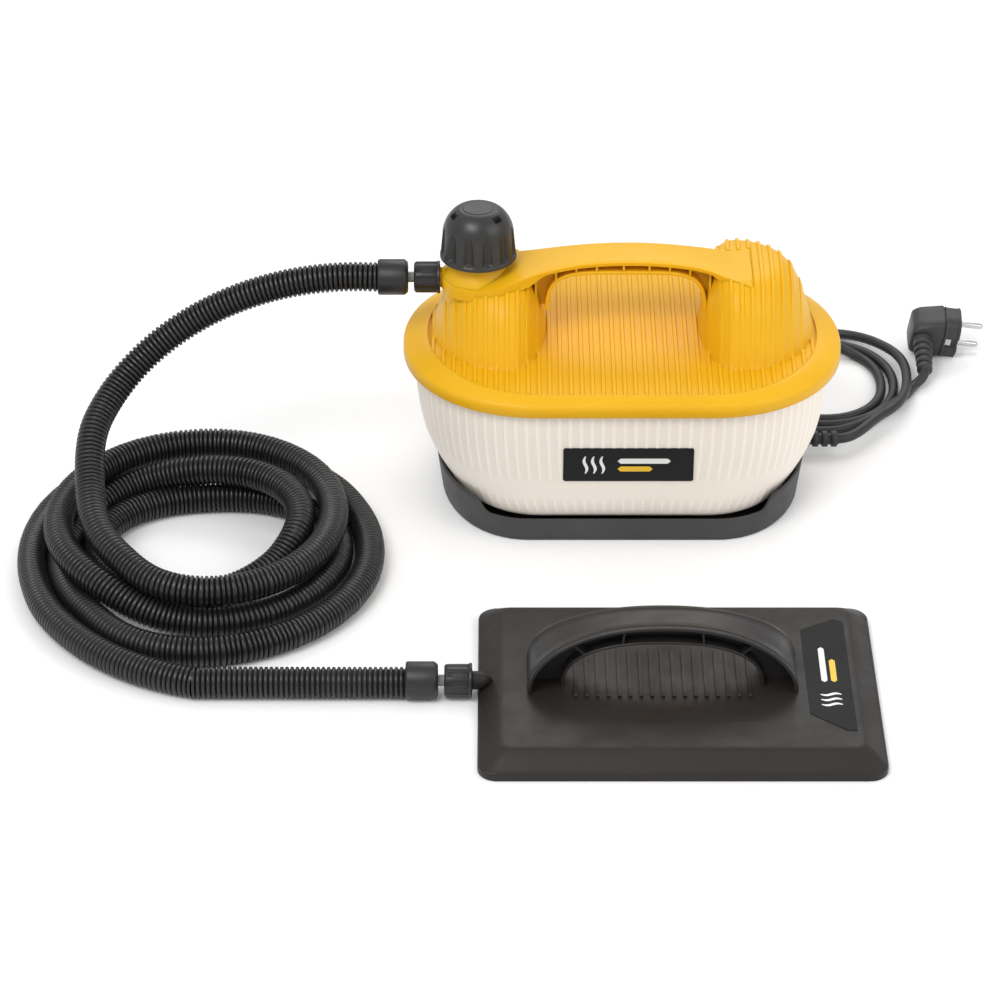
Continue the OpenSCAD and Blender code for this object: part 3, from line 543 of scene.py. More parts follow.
def lid_deck(shape):
    columns = []
    offsets = (-RIB_FOOT, -RIB_CREST, 0, RIB_CREST, RIB_FOOT, 2.8, RIB_PITCH / 2, RIB_PITCH - 2.8)
    for k in range(-(RIB_COUNT // 2), RIB_COUNT // 2 + 1):
        for offset in offsets:
            x = k * RIB_PITCH + offset
            if abs(x) < PANEL_A - 1:
                columns.append(x)
    rows = 150
    verts, faces = [], []
    for x in columns:
        half = panel_half(x)
        for j in range(rows + 1):
            y = half * (2 * j / rows - 1)
            verts.append((x, y, deck_surface(x, y)))
    under = len(verts)
    verts += [(v[0], v[1], DECK - 9) for v in verts]
    n = rows + 1
    for i in range(len(columns) - 1):
        for j in range(rows):
            a, b = i * n + j, (i + 1) * n + j
            faces.append([a, b, b + 1, a + 1])
            faces.append([under + a, under + a + 1, under + b + 1, under + b])
        for j in (0, rows):
            a, b = i * n + j, (i + 1) * n + j
            faces.append([a, under + a, under + b, b])
    for i in (0, len(columns) - 1):
        for j in range(rows):
            a = i * n + j
            faces.append([a, a + 1, under + a + 1, under + a])
    shape.add(verts, faces)


def lid_rim(shape):
    low = LID_LOW.z
    steps = 240
    rings = []

    edge = low + SKIRT + 2.4
    for inset, z in ((20, low + 9), (2.8, low + 9), (2.6, low + 0.4), (2.2, low), (0.5, low), (0, low + 0.5),
                     (0, edge - 4), (0.4, edge - 2.4), (1.3, edge - 0.9), (2.8, edge)):
        outline = rounded_ends(LID_A - inset, LID_B - inset, LID_FLAT, steps)
        rings.append([(x, y, z) for x, y in outline])
    for i in range(1, 9):
        t = i / 8
        a, b = mix(LID_A - 2.8, PANEL_A, t), mix(LID_B - 2.8, PANEL_B, t)
        outline = rounded_ends(a, b, LID_FLAT, steps)
        lift = math.sin(math.pi / 2 * t)
        rings.append([(x, y, mix(edge, deck_height(x, y), lift)) for x, y in outline])
    inner = rounded_ends(PANEL_A - 0.5, PANEL_B - 0.5, LID_FLAT, steps)
    rings.append([(x, y, deck_height(x, y) - 0.4) for x, y in inner])
    rings.append([(x, y, deck_height(x, y) - 2.2) for x, y in inner])
    rings.append([(0.9 * x, 0.9 * y, DECK - 8) for x, y in inner])
    shape.rings(rings)


def lid_band(shape):
    """The handle's top skin, which runs from the collar round the neck into the right shoulder."""
    stations = []
    for i in range(13):
        stations.append(NECK_X - (COLLAR - 0.15) * math.cos(math.pi / 2 * i / 12))
    count = 90
    for i in range(1, count + 1):
        stations.append(mix(NECK_X, BAND_END, i / count))
    across = (-1, -0.985, -0.93, -0.75, -0.5, -0.25, 0, 0.25, 0.5, 0.75, 0.93, 0.985, 1)
    rings = []
    for x in stations:
        front = max(0.6, band_reach(x, BAND_FRONT))
        back = max(0.6, band_reach(x, BAND_BACK))
        thick = 2.6 + 4 * smooth((x - 62) / 16) + 6 * smooth((-56 - x) / 16)
        ys = [s * (back if s > 0 else front) for s in across]
        top = [(x, y, skin_height(x, y)) for y in ys]
        bottom = [(x, y * 0.985, skin_height(x, y) - thick) for y in reversed(ys)]
        rings.append(top + bottom)
    shape.rings(rings)


def opening_height(x):
    u = min(1.0, abs(x - OPEN_X) / OPEN_A)
    return DECK + (OPEN_TOP - DECK) * (1 - u ** 5) ** 0.2


def opening_curve(steps=64):
    points = []
    for i in range(steps + 1):
        t = math.pi * (0.04 + 0.92 * i / steps)
        x = OPEN_X - OPEN_A * signed_power(math.cos(t), 0.4)
        z = DECK + (OPEN_TOP - DECK) * signed_power(math.sin(t), 0.4)
        points.append(Vector((x, 0, z)))
    return points


def lid_handle(shape):
    lip_half, lip_thick, web = BAND_HALF - 0.4, 2.0, 7
    curve = opening_curve()
    section = [(-lip_half, 0), (-lip_half + 0.5, -0.5), (lip_half - 0.5, -0.5), (lip_half, 0),
               (lip_half, lip_thick - 0.6), (lip_half - 0.5, lip_thick), (-lip_half + 0.5, lip_thick),
               (-lip_half, lip_thick - 0.6)]
    shape.sweep(curve, lambda i: section)
    reach = 82
    outer = []
    for p in curve:
        t = (p.x - OPEN_X) / OPEN_A
        x = OPEN_X + (reach if t > 0 else -reach) * abs(t) ** 0.8
        z = min(band_height(x) - 1.6, p.z + 60) if abs(t) < 0.97 else max(p.z, 140)
        outer.append(Vector((x, 0, z)))
    rings = []
    for p, q in zip(curve, outer):
        rings.append([(p.x, -web, p.z), (q.x, -web, q.z), (q.x, web, q.z), (p.x, web, p.z)])
    shape.rings(rings)
    for x in (-65, -50, -35, -20, 0, 19, 34, 49, 64):
        inside = abs(x - OPEN_X) < OPEN_A - 1
        low = opening_height(x) + 0.6 if inside else 152
        for side in (-1, 1):
            y0, y1 = sorted((side * (web - 1), side * (lip_half - 0.6)))
            shape.block((x - 0.8, y0, low), (x + 0.8, y1, band_height(x) - 1.8), 0.15)


def lid_neck(shape):
    top = CAP_LOW.z - 0.5
    profile = [(16.1, COLLAR_Z - 20), (COLLAR - 2, COLLAR_Z - 20), (COLLAR - 0.6, COLLAR_Z - 0.6),
               (25.5, COLLAR_Z + 0.9), (22.6, COLLAR_Z + 3.2), (20.6, COLLAR_Z + 6.5), (19.4, top - 3),
               (19.2, top - 0.5), (18.8, top), (16.5, top), (16.1, top - 0.4)]
    shape.lathe(profile, 96, Matrix.Translation((NECK_X, 0, 0)), closed=True)


def fitting_matrix(axis):
    """Turns a lathed fitting's height to point along the hose, away from the tank or plate."""
    return Matrix.Translation(axis) @ Matrix.Rotation(-math.pi / 2, 4, "Y")


def lathe_spigot(shape, root, tip, axis):
    """A steam connection that a hose nut screws on to: its root, six turns of thread and its tip."""
    profile = root + [(8.2, 1)]
    for i in range(6):
        z = 1 + 2 * i
        profile += [(8.2, z + 0.2), (8.95, z + 0.8), (8.95, z + 1.2), (8.2, z + 1.8)]
    shape.lathe(profile + [(7.8, 13), (4, 13)] + tip, 64, fitting_matrix(axis), closed=True)


def build_lid():
    shape = Shape()
    lid_rim(shape)
    lid_deck(shape)
    lid_band(shape)
    lid_handle(shape)
    lid_neck(shape)
    lathe_spigot(shape, [(4, -16), (7.5, -16), (7.5, -0.4), (8.2, 0.4)], [], TANK_AXIS)
    shape.piece("lid_cover", "boiler", ["lid"], [YELLOW], "yellow_plastic", 50)


# ---------- tank and tray ----------

TANK_FLOOR = 18
TANK_RIBS, RIB_SAMPLES = 108, 12
# Half-length and half-depth of the tank at each height
TANK_A = [(18, 129), (24, 133), (30, 136.4), (36, 140.3), (42, 143.6), (50, 147), (62, 150.2), (75, 152.6),
          (90, 154.2), (111, 155)]
TANK_B = [(18, 91), (24, 92.3), (30, 93.7), (36, 95), (42, 96), (50, 97.3), (62, 99), (75, 100.6),
          (90, 101.8), (111, 102.6)]


def tank_outline(z, inset, steps):
    return rounded_ends(table_at(TANK_A, z) - inset, table_at(TANK_B, z) - inset, LID_FLAT, steps)


def build_tank():
    """The tank: ribs from its rim down to a waist, and faint short ones near its foot."""
    shape = Shape()
    top = box("tank")[1].z
    steps = TANK_RIBS * RIB_SAMPLES
    levels = [TANK_FLOOR, TANK_FLOOR + 0.4, TANK_FLOOR + 1.5, 21, 22, 24, 27, 30, 32, 33.5, 35, 38, 42, 46, 50,
              52, 53.5, 55, 58, 62, 68, 75, 82, 90, 98, 105, top]
    rings, shade = [], []
    for z in levels:
        under = 1.5 * max(0.0, 1 - (z - TANK_FLOOR) / 1.5) ** 2
        strength = smooth((z - 51) / 4) + 0.8 * smooth((z - 20) / 2) * smooth((35 - z) / 3)
        ring = []
        for i, (x, y) in enumerate(tank_outline(z, under, steps)):
            off = min(i % RIB_SAMPLES, RIB_SAMPLES - i % RIB_SAMPLES) * RIB_PITCH / RIB_SAMPLES
            crest = smooth((1.7 - off) / 1.2)
            d = math.hypot(x, y)
            out = 0.45 * strength * crest
            ring.append((x + out * x / d, y + out * y / d, z))
            # Painted rib light: shade is 1 on crests and 0 in grooves. It is 0.35 where there are no ribs and on
            # the inner wall.
            shade.append(mix(0.35, crest, strength))
        rings.append(ring)
    wall = 2.5
    for z in (top, 75, 50, 30, TANK_FLOOR + wall):
        rings.append([(x, y, z) for x, y in tank_outline(z, wall, steps)])
        shade += [0.35] * steps
    shape.rings(rings, shade=shade)
    shape.piece("tank_shell", "boiler", ["tank"], [IVORY], "ivory_plastic", 60)


TRAY_FLAT, TRAY_TOP = 69, 30
TRAY_A, TRAY_B = (135.5, 139.5), (96.5, 98.5)
# Height of the tray's edge along X: a low lip in front, and a step up to each end
TRAY_EDGE = [(-112, 30), (-110.5, 29.7), (-109, 28.6), (-106, 24.6), (-103.5, 20.8), (-101.5, 19.5),
             (-99, 19), (103.5, 19), (105.5, 19.6), (107.5, 21.4), (109.5, 25.4), (111.5, 28.6),
             (112.5, 29.6), (114, 30)]


def build_tray():
    shape = Shape()
    steps, wall, floor = 560, 2.4, 4

    def point(i, z, inset):
        t = TAU * i / steps
        side = 0 if i in (steps // 4, 3 * steps // 4) else math.copysign(1, math.cos(t))
        a = mix(*TRAY_A, z / TRAY_TOP) - inset
        b = mix(*TRAY_B, z / TRAY_TOP) - inset
        return (side * TRAY_FLAT + (a - TRAY_FLAT) * signed_power(math.cos(t), 2 / END_POWER),
                b * signed_power(math.sin(t), 2 / END_POWER), z)

    edges = [table_at(TRAY_EDGE, point(i, 24, 0)[0]) for i in range(steps)]

    def ring(height, inset):
        return [point(i, height(edge), inset) for i, edge in enumerate(edges)]

    rings = [ring(lambda e: 0.0, 2.2), ring(lambda e: 0.5, 0.7), ring(lambda e: 1.6, 0.0)]
    for i in range(1, 9):
        rings.append(ring(lambda e, t=i / 8: mix(1.6, e - 0.7, t), 0.0))
    for drop, inset in ((0.15, 0.35), (0, 0.9), (0, wall - 0.6), (0.4, wall)):
        rings.append(ring(lambda e: e - drop, inset))
    rings.append(ring(lambda e: floor, wall))
    shape.rings(rings)
    shape.piece("tray_shell", "boiler", ["base_tray"], [TRAY], "tray_plastic", 40)


# ---------- filler cap ----------

def build_cap():
    low, high = CAP_LOW.z, CAP_HIGH.z
    rim = CAP_HIGH.x - NECK_X
    side, disc = rim - 0.6, rim - 16.5
    waist = side - 1.5
    dome_low, dome_rise, dome_power = high - 20, 19.4, 1.75
    flutes, flute_radius, flute_at = 12, 4.5, side + 1.4
    vents = [math.radians(a) for a in (79, 199, 319)]
    steps = 480
    outer = [(24.1, low + 5), (24.1, low + 0.6), (24.7, low), (rim - 0.6, low), (rim, low + 0.6),
             (rim, low + 2.0), (rim - 0.2, low + 2.5), (side, low + 3.0)]
    outer += [(mix(side, waist, i / 24), mix(low + 3.6, dome_low, i / 24)) for i in range(25)]
    for i in range(1, 37):
        t = math.pi / 2 * i / 36
        outer.append((disc + (waist - disc) * signed_power(math.cos(t), 2 / dome_power),
                      dome_low + dome_rise * signed_power(math.sin(t), 2 / dome_power)))
    outer += [(disc - 0.3, high - 0.55), (disc - 0.7, high - 0.15), (disc - 1.4, high - 0.05),
              (disc * 0.5, high), (0.4, high)]

    def fluted(angle, r, z):
        """The side cut back by upright round cutters, which run out into arches on the dome."""
        pitch = TAU / flutes
        off = (angle % pitch) - pitch / 2
        reach = flute_at * math.sin(off)
        if abs(reach) >= flute_radius or z < low + 3:
            return r
        cut = flute_at * math.cos(off) - math.sqrt(flute_radius ** 2 - reach ** 2)
        return mix(r, min(r, cut), smooth((z - low - 3.2) / 1.6))

    rings = []
    for r0, z in outer:
        ring = []
        for k in range(steps):
            angle = TAU * k / steps
            r = fluted(angle, r0, z)
            drop = 0.0
            if z > dome_low:
                nearest = min(vents, key=lambda a: abs(math.remainder(angle - a, TAU)))
                along = r * math.sin(angle - nearest)
                across = r * math.cos(angle - nearest) - 18.6
                drop = 4.5 * smooth((1.9 - abs(across)) / 0.5) * smooth((3.6 - abs(along)) / 0.6)
            ring.append((r * math.cos(angle), r * math.sin(angle), z - drop))
        rings.append(ring)
    inner = [(0.4, high - 3.4), (12, high - 3.6), (17, high - 8), (21.5, dome_low + 4), (23.2, low + 16),
             (24.1, low + 9)]
    for r, z in inner:
        rings.append([(r * math.cos(TAU * k / steps), r * math.sin(TAU * k / steps), z) for k in range(steps)])
    shape = Shape()
    shape.rings(rings, Matrix.Translation((NECK_X, 0, 0)), closed=True)
    piece = shape.piece("cap_shell", "cap", ["filler_cap"], [CAP, VENT], "cap_plastic", 42)
    for polygon in piece.data.polygons:
        c = polygon.center / MM
        r = math.hypot(c.x - NECK_X, c.y)
        if 16.6 < r < 20.6:
            share = min(1.0, (r - disc) / (waist - disc))
            dome = dome_low + dome_rise * (1 - share ** dome_power) ** (1 / dome_power)
            if dome - 6 < c.z < dome - 1.5:
                polygon.material_index = 1


# ---------- hose ----------

HOSE_SEAT = 28.3              # from a nut's inner end to the end of the hose inside its cuff
COIL_CENTRE = Vector((-305, -118, 0))
GROUND, STACKED = 11.2, 33.7  # height of the hose's centre on the ground and on another turn
# Turn in degrees, reach from the coil's centre, height: the same winding as the CAD model
COIL = [
    (145, 103, 84), (180, 87, 56), (225, 90, 42.5), (270, 102, 34.3),
    (360, 91, STACKED), (450, 108, STACKED), (540, 111, STACKED), (585, 112, 31),
    (630, 108, GROUND), (720, 94, GROUND), (810, 66, GROUND), (900, 83, GROUND),
    (990, 69, GROUND), (1035, 66, 20), (1080, 67, STACKED), (1170, 68, STACKED),
    (1215, 92, 20.5), (1260, 106.5, GROUND), (1305, 123, GROUND),
    (1350, 145, GROUND), (1440, 117, GROUND), (1485, 118, GROUND),
    (1530, 133, GROUND), (1620, 130.5, GROUND), (1665, 148, GROUND),
    (1710, 184, GROUND),
]
FLEX_X = -212
CREST, ROOT, PITCH = 11.0, 8.9, 3.64


def spline(rows, steps):
    rows = [Vector(r) for r in rows]
    ends = [2 * rows[0] - rows[1]] + rows + [2 * rows[-1] - rows[-2]]
    points = []
    for i in range(len(rows) - 1):
        a, b, c, d = ends[i:i + 4]
        for k in range(steps):
            t = k / steps
            points.append((2 * b + (c - a) * t + (2 * a - 5 * b + 4 * c - d) * t * t
                           + (3 * b - a - 3 * c + d) * t ** 3) / 2)
    return points + [rows[-1]]


def bezier(a, b, c, d, steps):
    points = []
    for i in range(steps):
        t = i / steps
        s = 1 - t
        points.append(s ** 3 * a + 3 * s * s * t * b + 3 * s * t * t * c + t ** 3 * d)
    return points


def polar(centre, rows):
    points = []
    for turn, reach, height in rows:
        t = math.radians(turn)
        points.append(centre + Vector((reach * math.cos(t), reach * math.sin(t), height)))
    return points


def resample(path, step):
    """Points at an even step along a path, rounded off where the path has corners."""
    lengths = [0.0]
    for p, q in zip(path, path[1:]):
        lengths.append(lengths[-1] + (q - p).length)
    count = int(lengths[-1] / step)
    points, k = [], 0
    for i in range(count + 1):
        want = min(lengths[-1], i * lengths[-1] / count)
        while k < len(path) - 2 and lengths[k + 1] < want:
            k += 1
        span = (lengths[k + 1] - lengths[k]) or 1
        points.append(path[k].lerp(path[k + 1], (want - lengths[k]) / span))
    for _ in range(6):
        inner = [(points[i - 1] + 2 * points[i] + points[i + 1]) / 4 for i in range(1, len(points) - 1)]
        points = [points[0]] + inner + [points[-1]]
    return points


def hose_wave(distance):
    """Radius and shade of the corrugated wall at a distance along the hose."""
    t = (distance / PITCH) % 1
    rise = smooth((0.5 - abs(t - 0.5)) / 0.3)
    return mix(ROOT, CREST, rise), rise


def hose_piece(name, path, body, nodes, start_at):
    sides, step = 18, PITCH / 7
    points = resample(path, step)
    shape = Shape()
    rings, shade = [], []
    travelled = start_at
    previous = points[0]
    for i, p in enumerate(points):
        travelled += (p - previous).length
        previous = p
        side, top = path_frame(points, i)
        r, rise = hose_wave(travelled)
        ring = []
        for k in range(sides):
            t = TAU * k / sides
            ring.append(p + side * (r * math.cos(t)) + top * (r * math.sin(t)))
        rings.append(ring)
        shade += [rise] * sides
    shape.rings(rings, shade=shade)
    piece = shape.piece(name, body, nodes, [HOSE], "hose_plastic", 75)
    return piece, travelled


def build_hose():
    tank_end = TANK_AXIS - Vector((HOSE_SEAT, 0, 0))
    plate_end = PLATE_AXIS - Vector((HOSE_SEAT, 0, 0))
    coil = polar(COIL_CENTRE, spline(COIL, 12))
    first, last = coil[0], coil[-1]
    entry = Vector((-22.7, -60.2, -28))
    lead_in = bezier(tank_end - Vector((22, 0, 0)), Vector((-290, 0, 176)), first - entry, first, 40)
    main = [tank_end, tank_end - Vector((15, 0, 0))] + lead_in + coil
    _, travelled = hose_piece("hose_coil", main, "boiler", ["steam_hose"], 0.0)
    straight = Vector((FLEX_X + 60, last.y, GROUND))
    tail = [last - Vector((1.5, 0, 0)), Vector((FLEX_X - 40, last.y, GROUND)), straight,
            plate_end - Vector((14, 0, 0)), plate_end]
    flex, _ = hose_piece("hose_flex", tail, None, ["hose_lead"], travelled - 1.5)
    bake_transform(flex)


def build_nut(name, body, node, axis):
    low, high = box(node)
    radius, length = (high.z - low.z) / 2, high.x - low.x
    ridges = 10

    def grip(angle, r, z):
        if r > radius - 2 and 2.6 < z < length - 1.2:
            across = abs((angle * ridges / TAU) % 1 - 0.5) * 2
            return r - 0.9 * smooth((across - 0.36) / 0.2)
        return r

    profile = [(9.2, 0.3), (9.6, 0), (radius - 0.5, 0), (radius, 0.5), (radius, 1.9), (radius - 0.4, 2.4),
               (radius - 0.6, 2.7), (radius - 0.5, 3.2), (radius - 0.5, 8), (radius - 0.5, 13),
               (radius - 0.55, length - 1.8), (radius - 0.9, length - 1.1), (radius - 1.2, length - 0.7),
               (radius - 1.9, length), (5.2, length), (4.6, length - 0.6), (4.6, length - 2),
               (9.1, length - 2.2)]
    shape = Shape()
    shape.lathe(profile, 200, fitting_matrix(axis), closed=True, radius=grip)
    shape.piece(name, body, [node], [BLACK], "black_plastic", 42)


def build_cuff(name, body, node, axis):
    low, high = box(node)
    radius = (high.z - low.z) / 2
    start = axis.x - high.x
    end = axis.x - low.x
    profile = [(4.1, start + 0.6), (4.6, start), (radius - 2.6, start), (radius - 1.7, start + 0.5),
               (radius - 0.5, start + 2.0), (radius - 0.1, start + 2.8), (radius, start + 3.6),
               (radius, end - 1.4), (radius - 0.5, end - 0.4), (radius - 1.2, end), (11.8, end),
               (11.3, end - 0.6), (11.3, start + 4.5), (4.1, start + 4.2)]
    shape = Shape()
    shape.lathe(profile, 96, fitting_matrix(axis), closed=True)
    shape.piece(name, body, [node], [BLACK], "black_plastic", 34)


# ---------- steam plate ----------

PLATE_LOW, PLATE_HIGH = box("steam_plate")
PLATE_X = (PLATE_LOW.x + PLATE_HIGH.x) / 2
PLATE_Y = (PLATE_LOW.y + PLATE_HIGH.y) / 2
PLATE_A = (PLATE_HIGH.x - PLATE_LOW.x) / 2
PLATE_B = (PLATE_HIGH.y - PLATE_LOW.y) / 2
PLATE_TOP = 18.0
HANDLE_LOW, HANDLE_HIGH = box("plate_handle")
HANDLE_X = (HANDLE_LOW.x + HANDLE_HIGH.x) / 2
HANDLE_A = (HANDLE_HIGH.x - HANDLE_LOW.x) / 2
HANDLE_TOP = HANDLE_HIGH.z


def build_plate():
    shape = Shape()
    place = Matrix.Translation((PLATE_X, PLATE_Y, 0))

    # Inset from the long and the short sides, corner radius, height
    levels = [(2.4, 2.4, 11, 0), (0.6, 0.6, 13, 0), (0.1, 0.1, 13.4, 0.6), (0, 0, 13.5, 1.4), (0, 0, 13.5, 4.6),
              (0.25, 0.25, 13.3, 5.5), (0.9, 0.9, 13, 6.2), (1.6, 1.6, 12.6, 6.4), (2.4, 2.4, 12.4, 6.9),
              (8.2, 8.2, 11, 11.4), (13.6, 13.6, 9.6, 15.2), (15.2, 15.2, 9.2, 16.1), (16.8, 16.8, 9, 16.6),
              (18.8, 18.8, 8.6, 16.8), (52, 31, 8, 16.9), (53.5, 32.5, 8, 17.0), (59, 44, 7, 17.9),
              (61, 46, 7, 18.0), (61, 46, 7, 14.5), (20, 20, 8, 13.6), (15.5, 15.5, 8, 13), (4, 4, 10.5, 4.5),
              (2.5, 2.5, 11, 3.5)]
    rings = []
    for inset_x, inset_y, corner, z in levels:
        outline = rounded_rectangle(PLATE_A - inset_x, PLATE_B - inset_y, corner, 10, 8)
        rings.append([(x, y, z) for x, y in outline])
    shape.rings(rings, place, closed=True)
    shape.prism(rounded_rectangle(PLATE_A - 60.9, PLATE_B - 45.9, 7, 6, 4), 14.5, PLATE_TOP, place)
    ribs, pitch, half = 17, 7.55, 29
    for i in range(ribs):
        x = HANDLE_X + (i - (ribs - 1) / 2) * pitch
        shape.block((x - 1.2, PLATE_Y - half, PLATE_TOP - 0.6), (x + 1.2, PLATE_Y + half, PLATE_TOP + 2.2),
                    0.7)
    shape.piece("plate_shell", "plate", ["steam_plate"], [PLATE], "plate_plastic", 30)


def build_plate_inlet():
    """The steam inlet: a threaded stub under the nut, and a boss that runs out on the plate's slope."""
    shape = Shape()
    root = [(0.3, -14), (2.2, -13.5), (5.4, -9), (6.5, -6.5), (6.5, -0.4), (8.2, 0)]
    lathe_spigot(shape, root, [(4, -4), (0.3, -4)], PLATE_AXIS)
    shape.piece("plate_inlet", "plate", ["plate_spigot"], [PLATE], "plate_plastic", 45)


def build_handle_screws():
    low, high = box("handle_screws")
    head = 3.2
    profile = [(0.3, 0.8), (1.2, 0.8), (1.4, 0), (2.6, 0), (head, 0.7), (head, 1.6), (1.6, 2.2), (1.6, 5.4),
               (0.3, 5.6)]
    shape = Shape()
    for x in (low.x + head, high.x - head):
        for y in (low.y + head, high.y - head):
            shape.lathe(profile, 24, Matrix.Translation((x, y, low.z)), closed=True)
    shape.piece("handle_screw_set", "plate", ["handle_screws"], [STEEL], "steel", 35)


def arch(half_span, height, power, base):
    """An arch in the XZ plane, as a path from its left foot to its right foot."""
    points = []
    steps = 72
    for i in range(steps + 1):
        t = math.pi * i / steps
        x = -half_span * signed_power(math.cos(t), 2 / power)
        z = base + height * signed_power(math.sin(t), 2 / power)
        points.append(Vector((HANDLE_X + x, PLATE_Y, z)))
    return points


def build_plate_handle():
    shape = Shape()
    base = PLATE_TOP - 0.4
    outer = arch(HANDLE_A - 0.4, HANDLE_TOP - base, 2.15, base)
    inner = arch(69, 52.4 - base, 2.4, base)

    def skin(i):
        u = abs(outer[i].x - HANDLE_X) / HANDLE_A
        w = 15 + 8.6 * u ** 2.6
        bead = w - 4
        left = [(-w, -2.2), (-w, -0.5), (-w + 0.5, 0), (-bead - 0.7, 0), (-bead, 0.45), (-bead + 0.7, 0),
                (-bead * 0.5, 0.1)]
        right = [(-x, z) for x, z in reversed(left)]
        return left + [(0, 0.15)] + right + [(w - 0.4, -2.6), (-w + 0.4, -2.6)]

    shape.sweep(outer, skin)
    lip = 14.4
    section = [(-lip, 0), (-lip, 1.2), (-lip + 0.4, 1.6), (lip - 0.4, 1.6), (lip, 1.2), (lip, 0),
               (lip - 0.4, -0.3), (-lip + 0.4, -0.3)]
    shape.sweep(inner, lambda i: section)
    web = 4
    rings = []
    for p, q in zip(inner, outer):
        q = Vector((q.x + 1.2 * (HANDLE_X - q.x) / HANDLE_A, q.y, q.z - 1.2))
        offset = Vector((0, web, 0))
        rings.append([p - offset, q - offset, q + offset, p + offset])
    shape.rings(rings)
    for x_out, x_in in ((-65, -53), (-26, -28), (26, 28), (65, 53)):
        p = min(outer, key=lambda v: abs(v.x - HANDLE_X - x_out))
        q = min(inner, key=lambda v: abs(v.x - HANDLE_X - x_in))
        along = (p - q).normalized()
        across = Vector((0, 1, 0)).cross(along) * 0.7
        for side in (-1, 1):
            y0, y1 = side * (web - 1), side * (lip - 0.3)
            rings = []
            for y in (y0, y1):
                offset = Vector((0, y, 0))
                top = p + offset - along * 1.2
                rings.append([q - across + offset, q + across + offset, top + across, top - across])
            shape.rings(rings)
    shape.piece("plate_strap", "plate", ["plate_handle"], [STRAP], "plate_plastic", 40)


# ---------- labels ----------

def film(shape, outline, low, high, place, mark):
    """A thin panel: place(across, up, out) sets a flat outline on the surface that carries it."""
    shape.rings([[place(u, v, h) for u, v in outline] for h in (low, high)], mark=mark)


def wave_strip(shape, x, low, high, top, place):
    """One wavy stroke of the steam sign."""
    count, width, swing = 18, 2.6, 1.1
    left, right = [], []
    for i in range(count + 1):
        y = mix(low, high, i / count)
        sway = swing * math.sin(TAU * i / count)
        taper = width * (0.35 + 0.65 * math.sin(math.pi * i / count))
        left.append((x + sway - taper / 2, y))
        right.append((x + sway + taper / 2, y))
    film(shape, left + right[::-1], top - 0.1, top + 0.1, place, 1)


def motif(shape, place, length, height, top):
    """A plain sign: three strokes of steam beside two bars."""
    for i in range(3):
        wave_strip(shape, -0.33 * length + i * 6.2, -0.26 * height, 0.26 * height, top, place)
    bar = 0.36 * length
    for k, (mark, share) in enumerate(((1, 1.0), (2, 0.62))):
        half = 0.075 * height
        middle = (0.12 - 0.24 * k) * height
        left = -0.06 * length
        right = left + bar * share
        outline = [(left, middle - half), (right, middle - half), (right + half, middle),
                   (right, middle + half), (left, middle + half), (left - half, middle)]
        film(shape, outline, top - 0.1, top + 0.1, place, mark)


def build_labels():
    low, high = box("tank_label")
    middle = (low + high) / 2
    x, y, corner = (high.x - low.x) / 2, 15, 1.2

    def on_tank(u, v, h):
        z = middle.z + v
        return (middle.x + u, -table_at(TANK_B, z) - 0.5 - h, z)

    shape = Shape()
    outline = [(-x + corner, -y), (x - corner, -y), (x, -y + corner), (x, y - corner), (x - corner, y),
               (-x + corner, y), (-x, y - corner), (-x, -y + corner)]
    film(shape, outline, -0.4, 0.3, on_tank, 0)
    motif(shape, on_tank, 2 * x, 2 * y, 0.3)
    shape.piece("tank_badge", "boiler", ["tank_label"], [LABEL, INK_WHITE, INK_YELLOW], "label_film", 30)

    def on_plate(u, v, h):
        return (PLATE_X + 105 - v, PLATE_Y + u, 17.0 + h)

    shape = Shape()
    outline = [(-47, 16), (-67, -8), (-67, -15), (68, -15), (72, -8), (58, 16)]
    film(shape, outline, -0.4, 0.3, on_plate, 0)
    motif(shape, on_plate, 110, 28, 0.3)
    shape.piece("plate_badge", "plate", ["plate_label"], [LABEL, INK_WHITE, INK_YELLOW], "label_film", 30)


# ---------- cord and plug ----------

CORD_R = 3.85
CORD_GROUND = CORD_R + 0.1
CORD_OVER = CORD_GROUND + 8
CORD_CENTRE = Vector((165, 128, 0))
# Turn in degrees, reach, height: the same winding as the CAD model
CORD_COIL = [
    (-50, 70, CORD_OVER), (0, 66, CORD_OVER), (45, 78, CORD_OVER - 3), (90, 88, CORD_GROUND),
    (180, 62, CORD_GROUND), (225, 60, CORD_GROUND), (270, 60, CORD_GROUND), (360, 56, CORD_GROUND),
    (450, 72, CORD_GROUND), (540, 52, CORD_GROUND), (630, 51, CORD_GROUND),
    (720, 46, CORD_GROUND), (775, 58, CORD_GROUND), (810, 61, CORD_OVER),
    (855, 66, CORD_OVER), (900, 72, CORD_OVER), (945, 69, CORD_GROUND),
    (990, 69.5, CORD_GROUND), (1020, 61, CORD_GROUND),
]
BOOT_LOW, BOOT_HIGH = box("cord_boot")
BOOT_Y = (BOOT_LOW.y + BOOT_HIGH.y) / 2
BOOT_Z = (BOOT_LOW.z + BOOT_HIGH.z) / 2
PLUG_ORIGIN = Vector((258, 192, 20.5))
PLUG_MATRIX = (Matrix.Translation(PLUG_ORIGIN) @ Matrix.Rotation(math.radians(8), 4, "Y")
               @ Matrix.Rotation(math.radians(12), 4, "X"))
PLUG_DEPTH, PLUG_SPAN, PLUG_WIDTH = 38, 37, 30
SLEEVE_FOOT = Vector((-PLUG_DEPTH / 2 + 9, -PLUG_WIDTH / 2, 0))
SLEEVE_LENGTH = 38


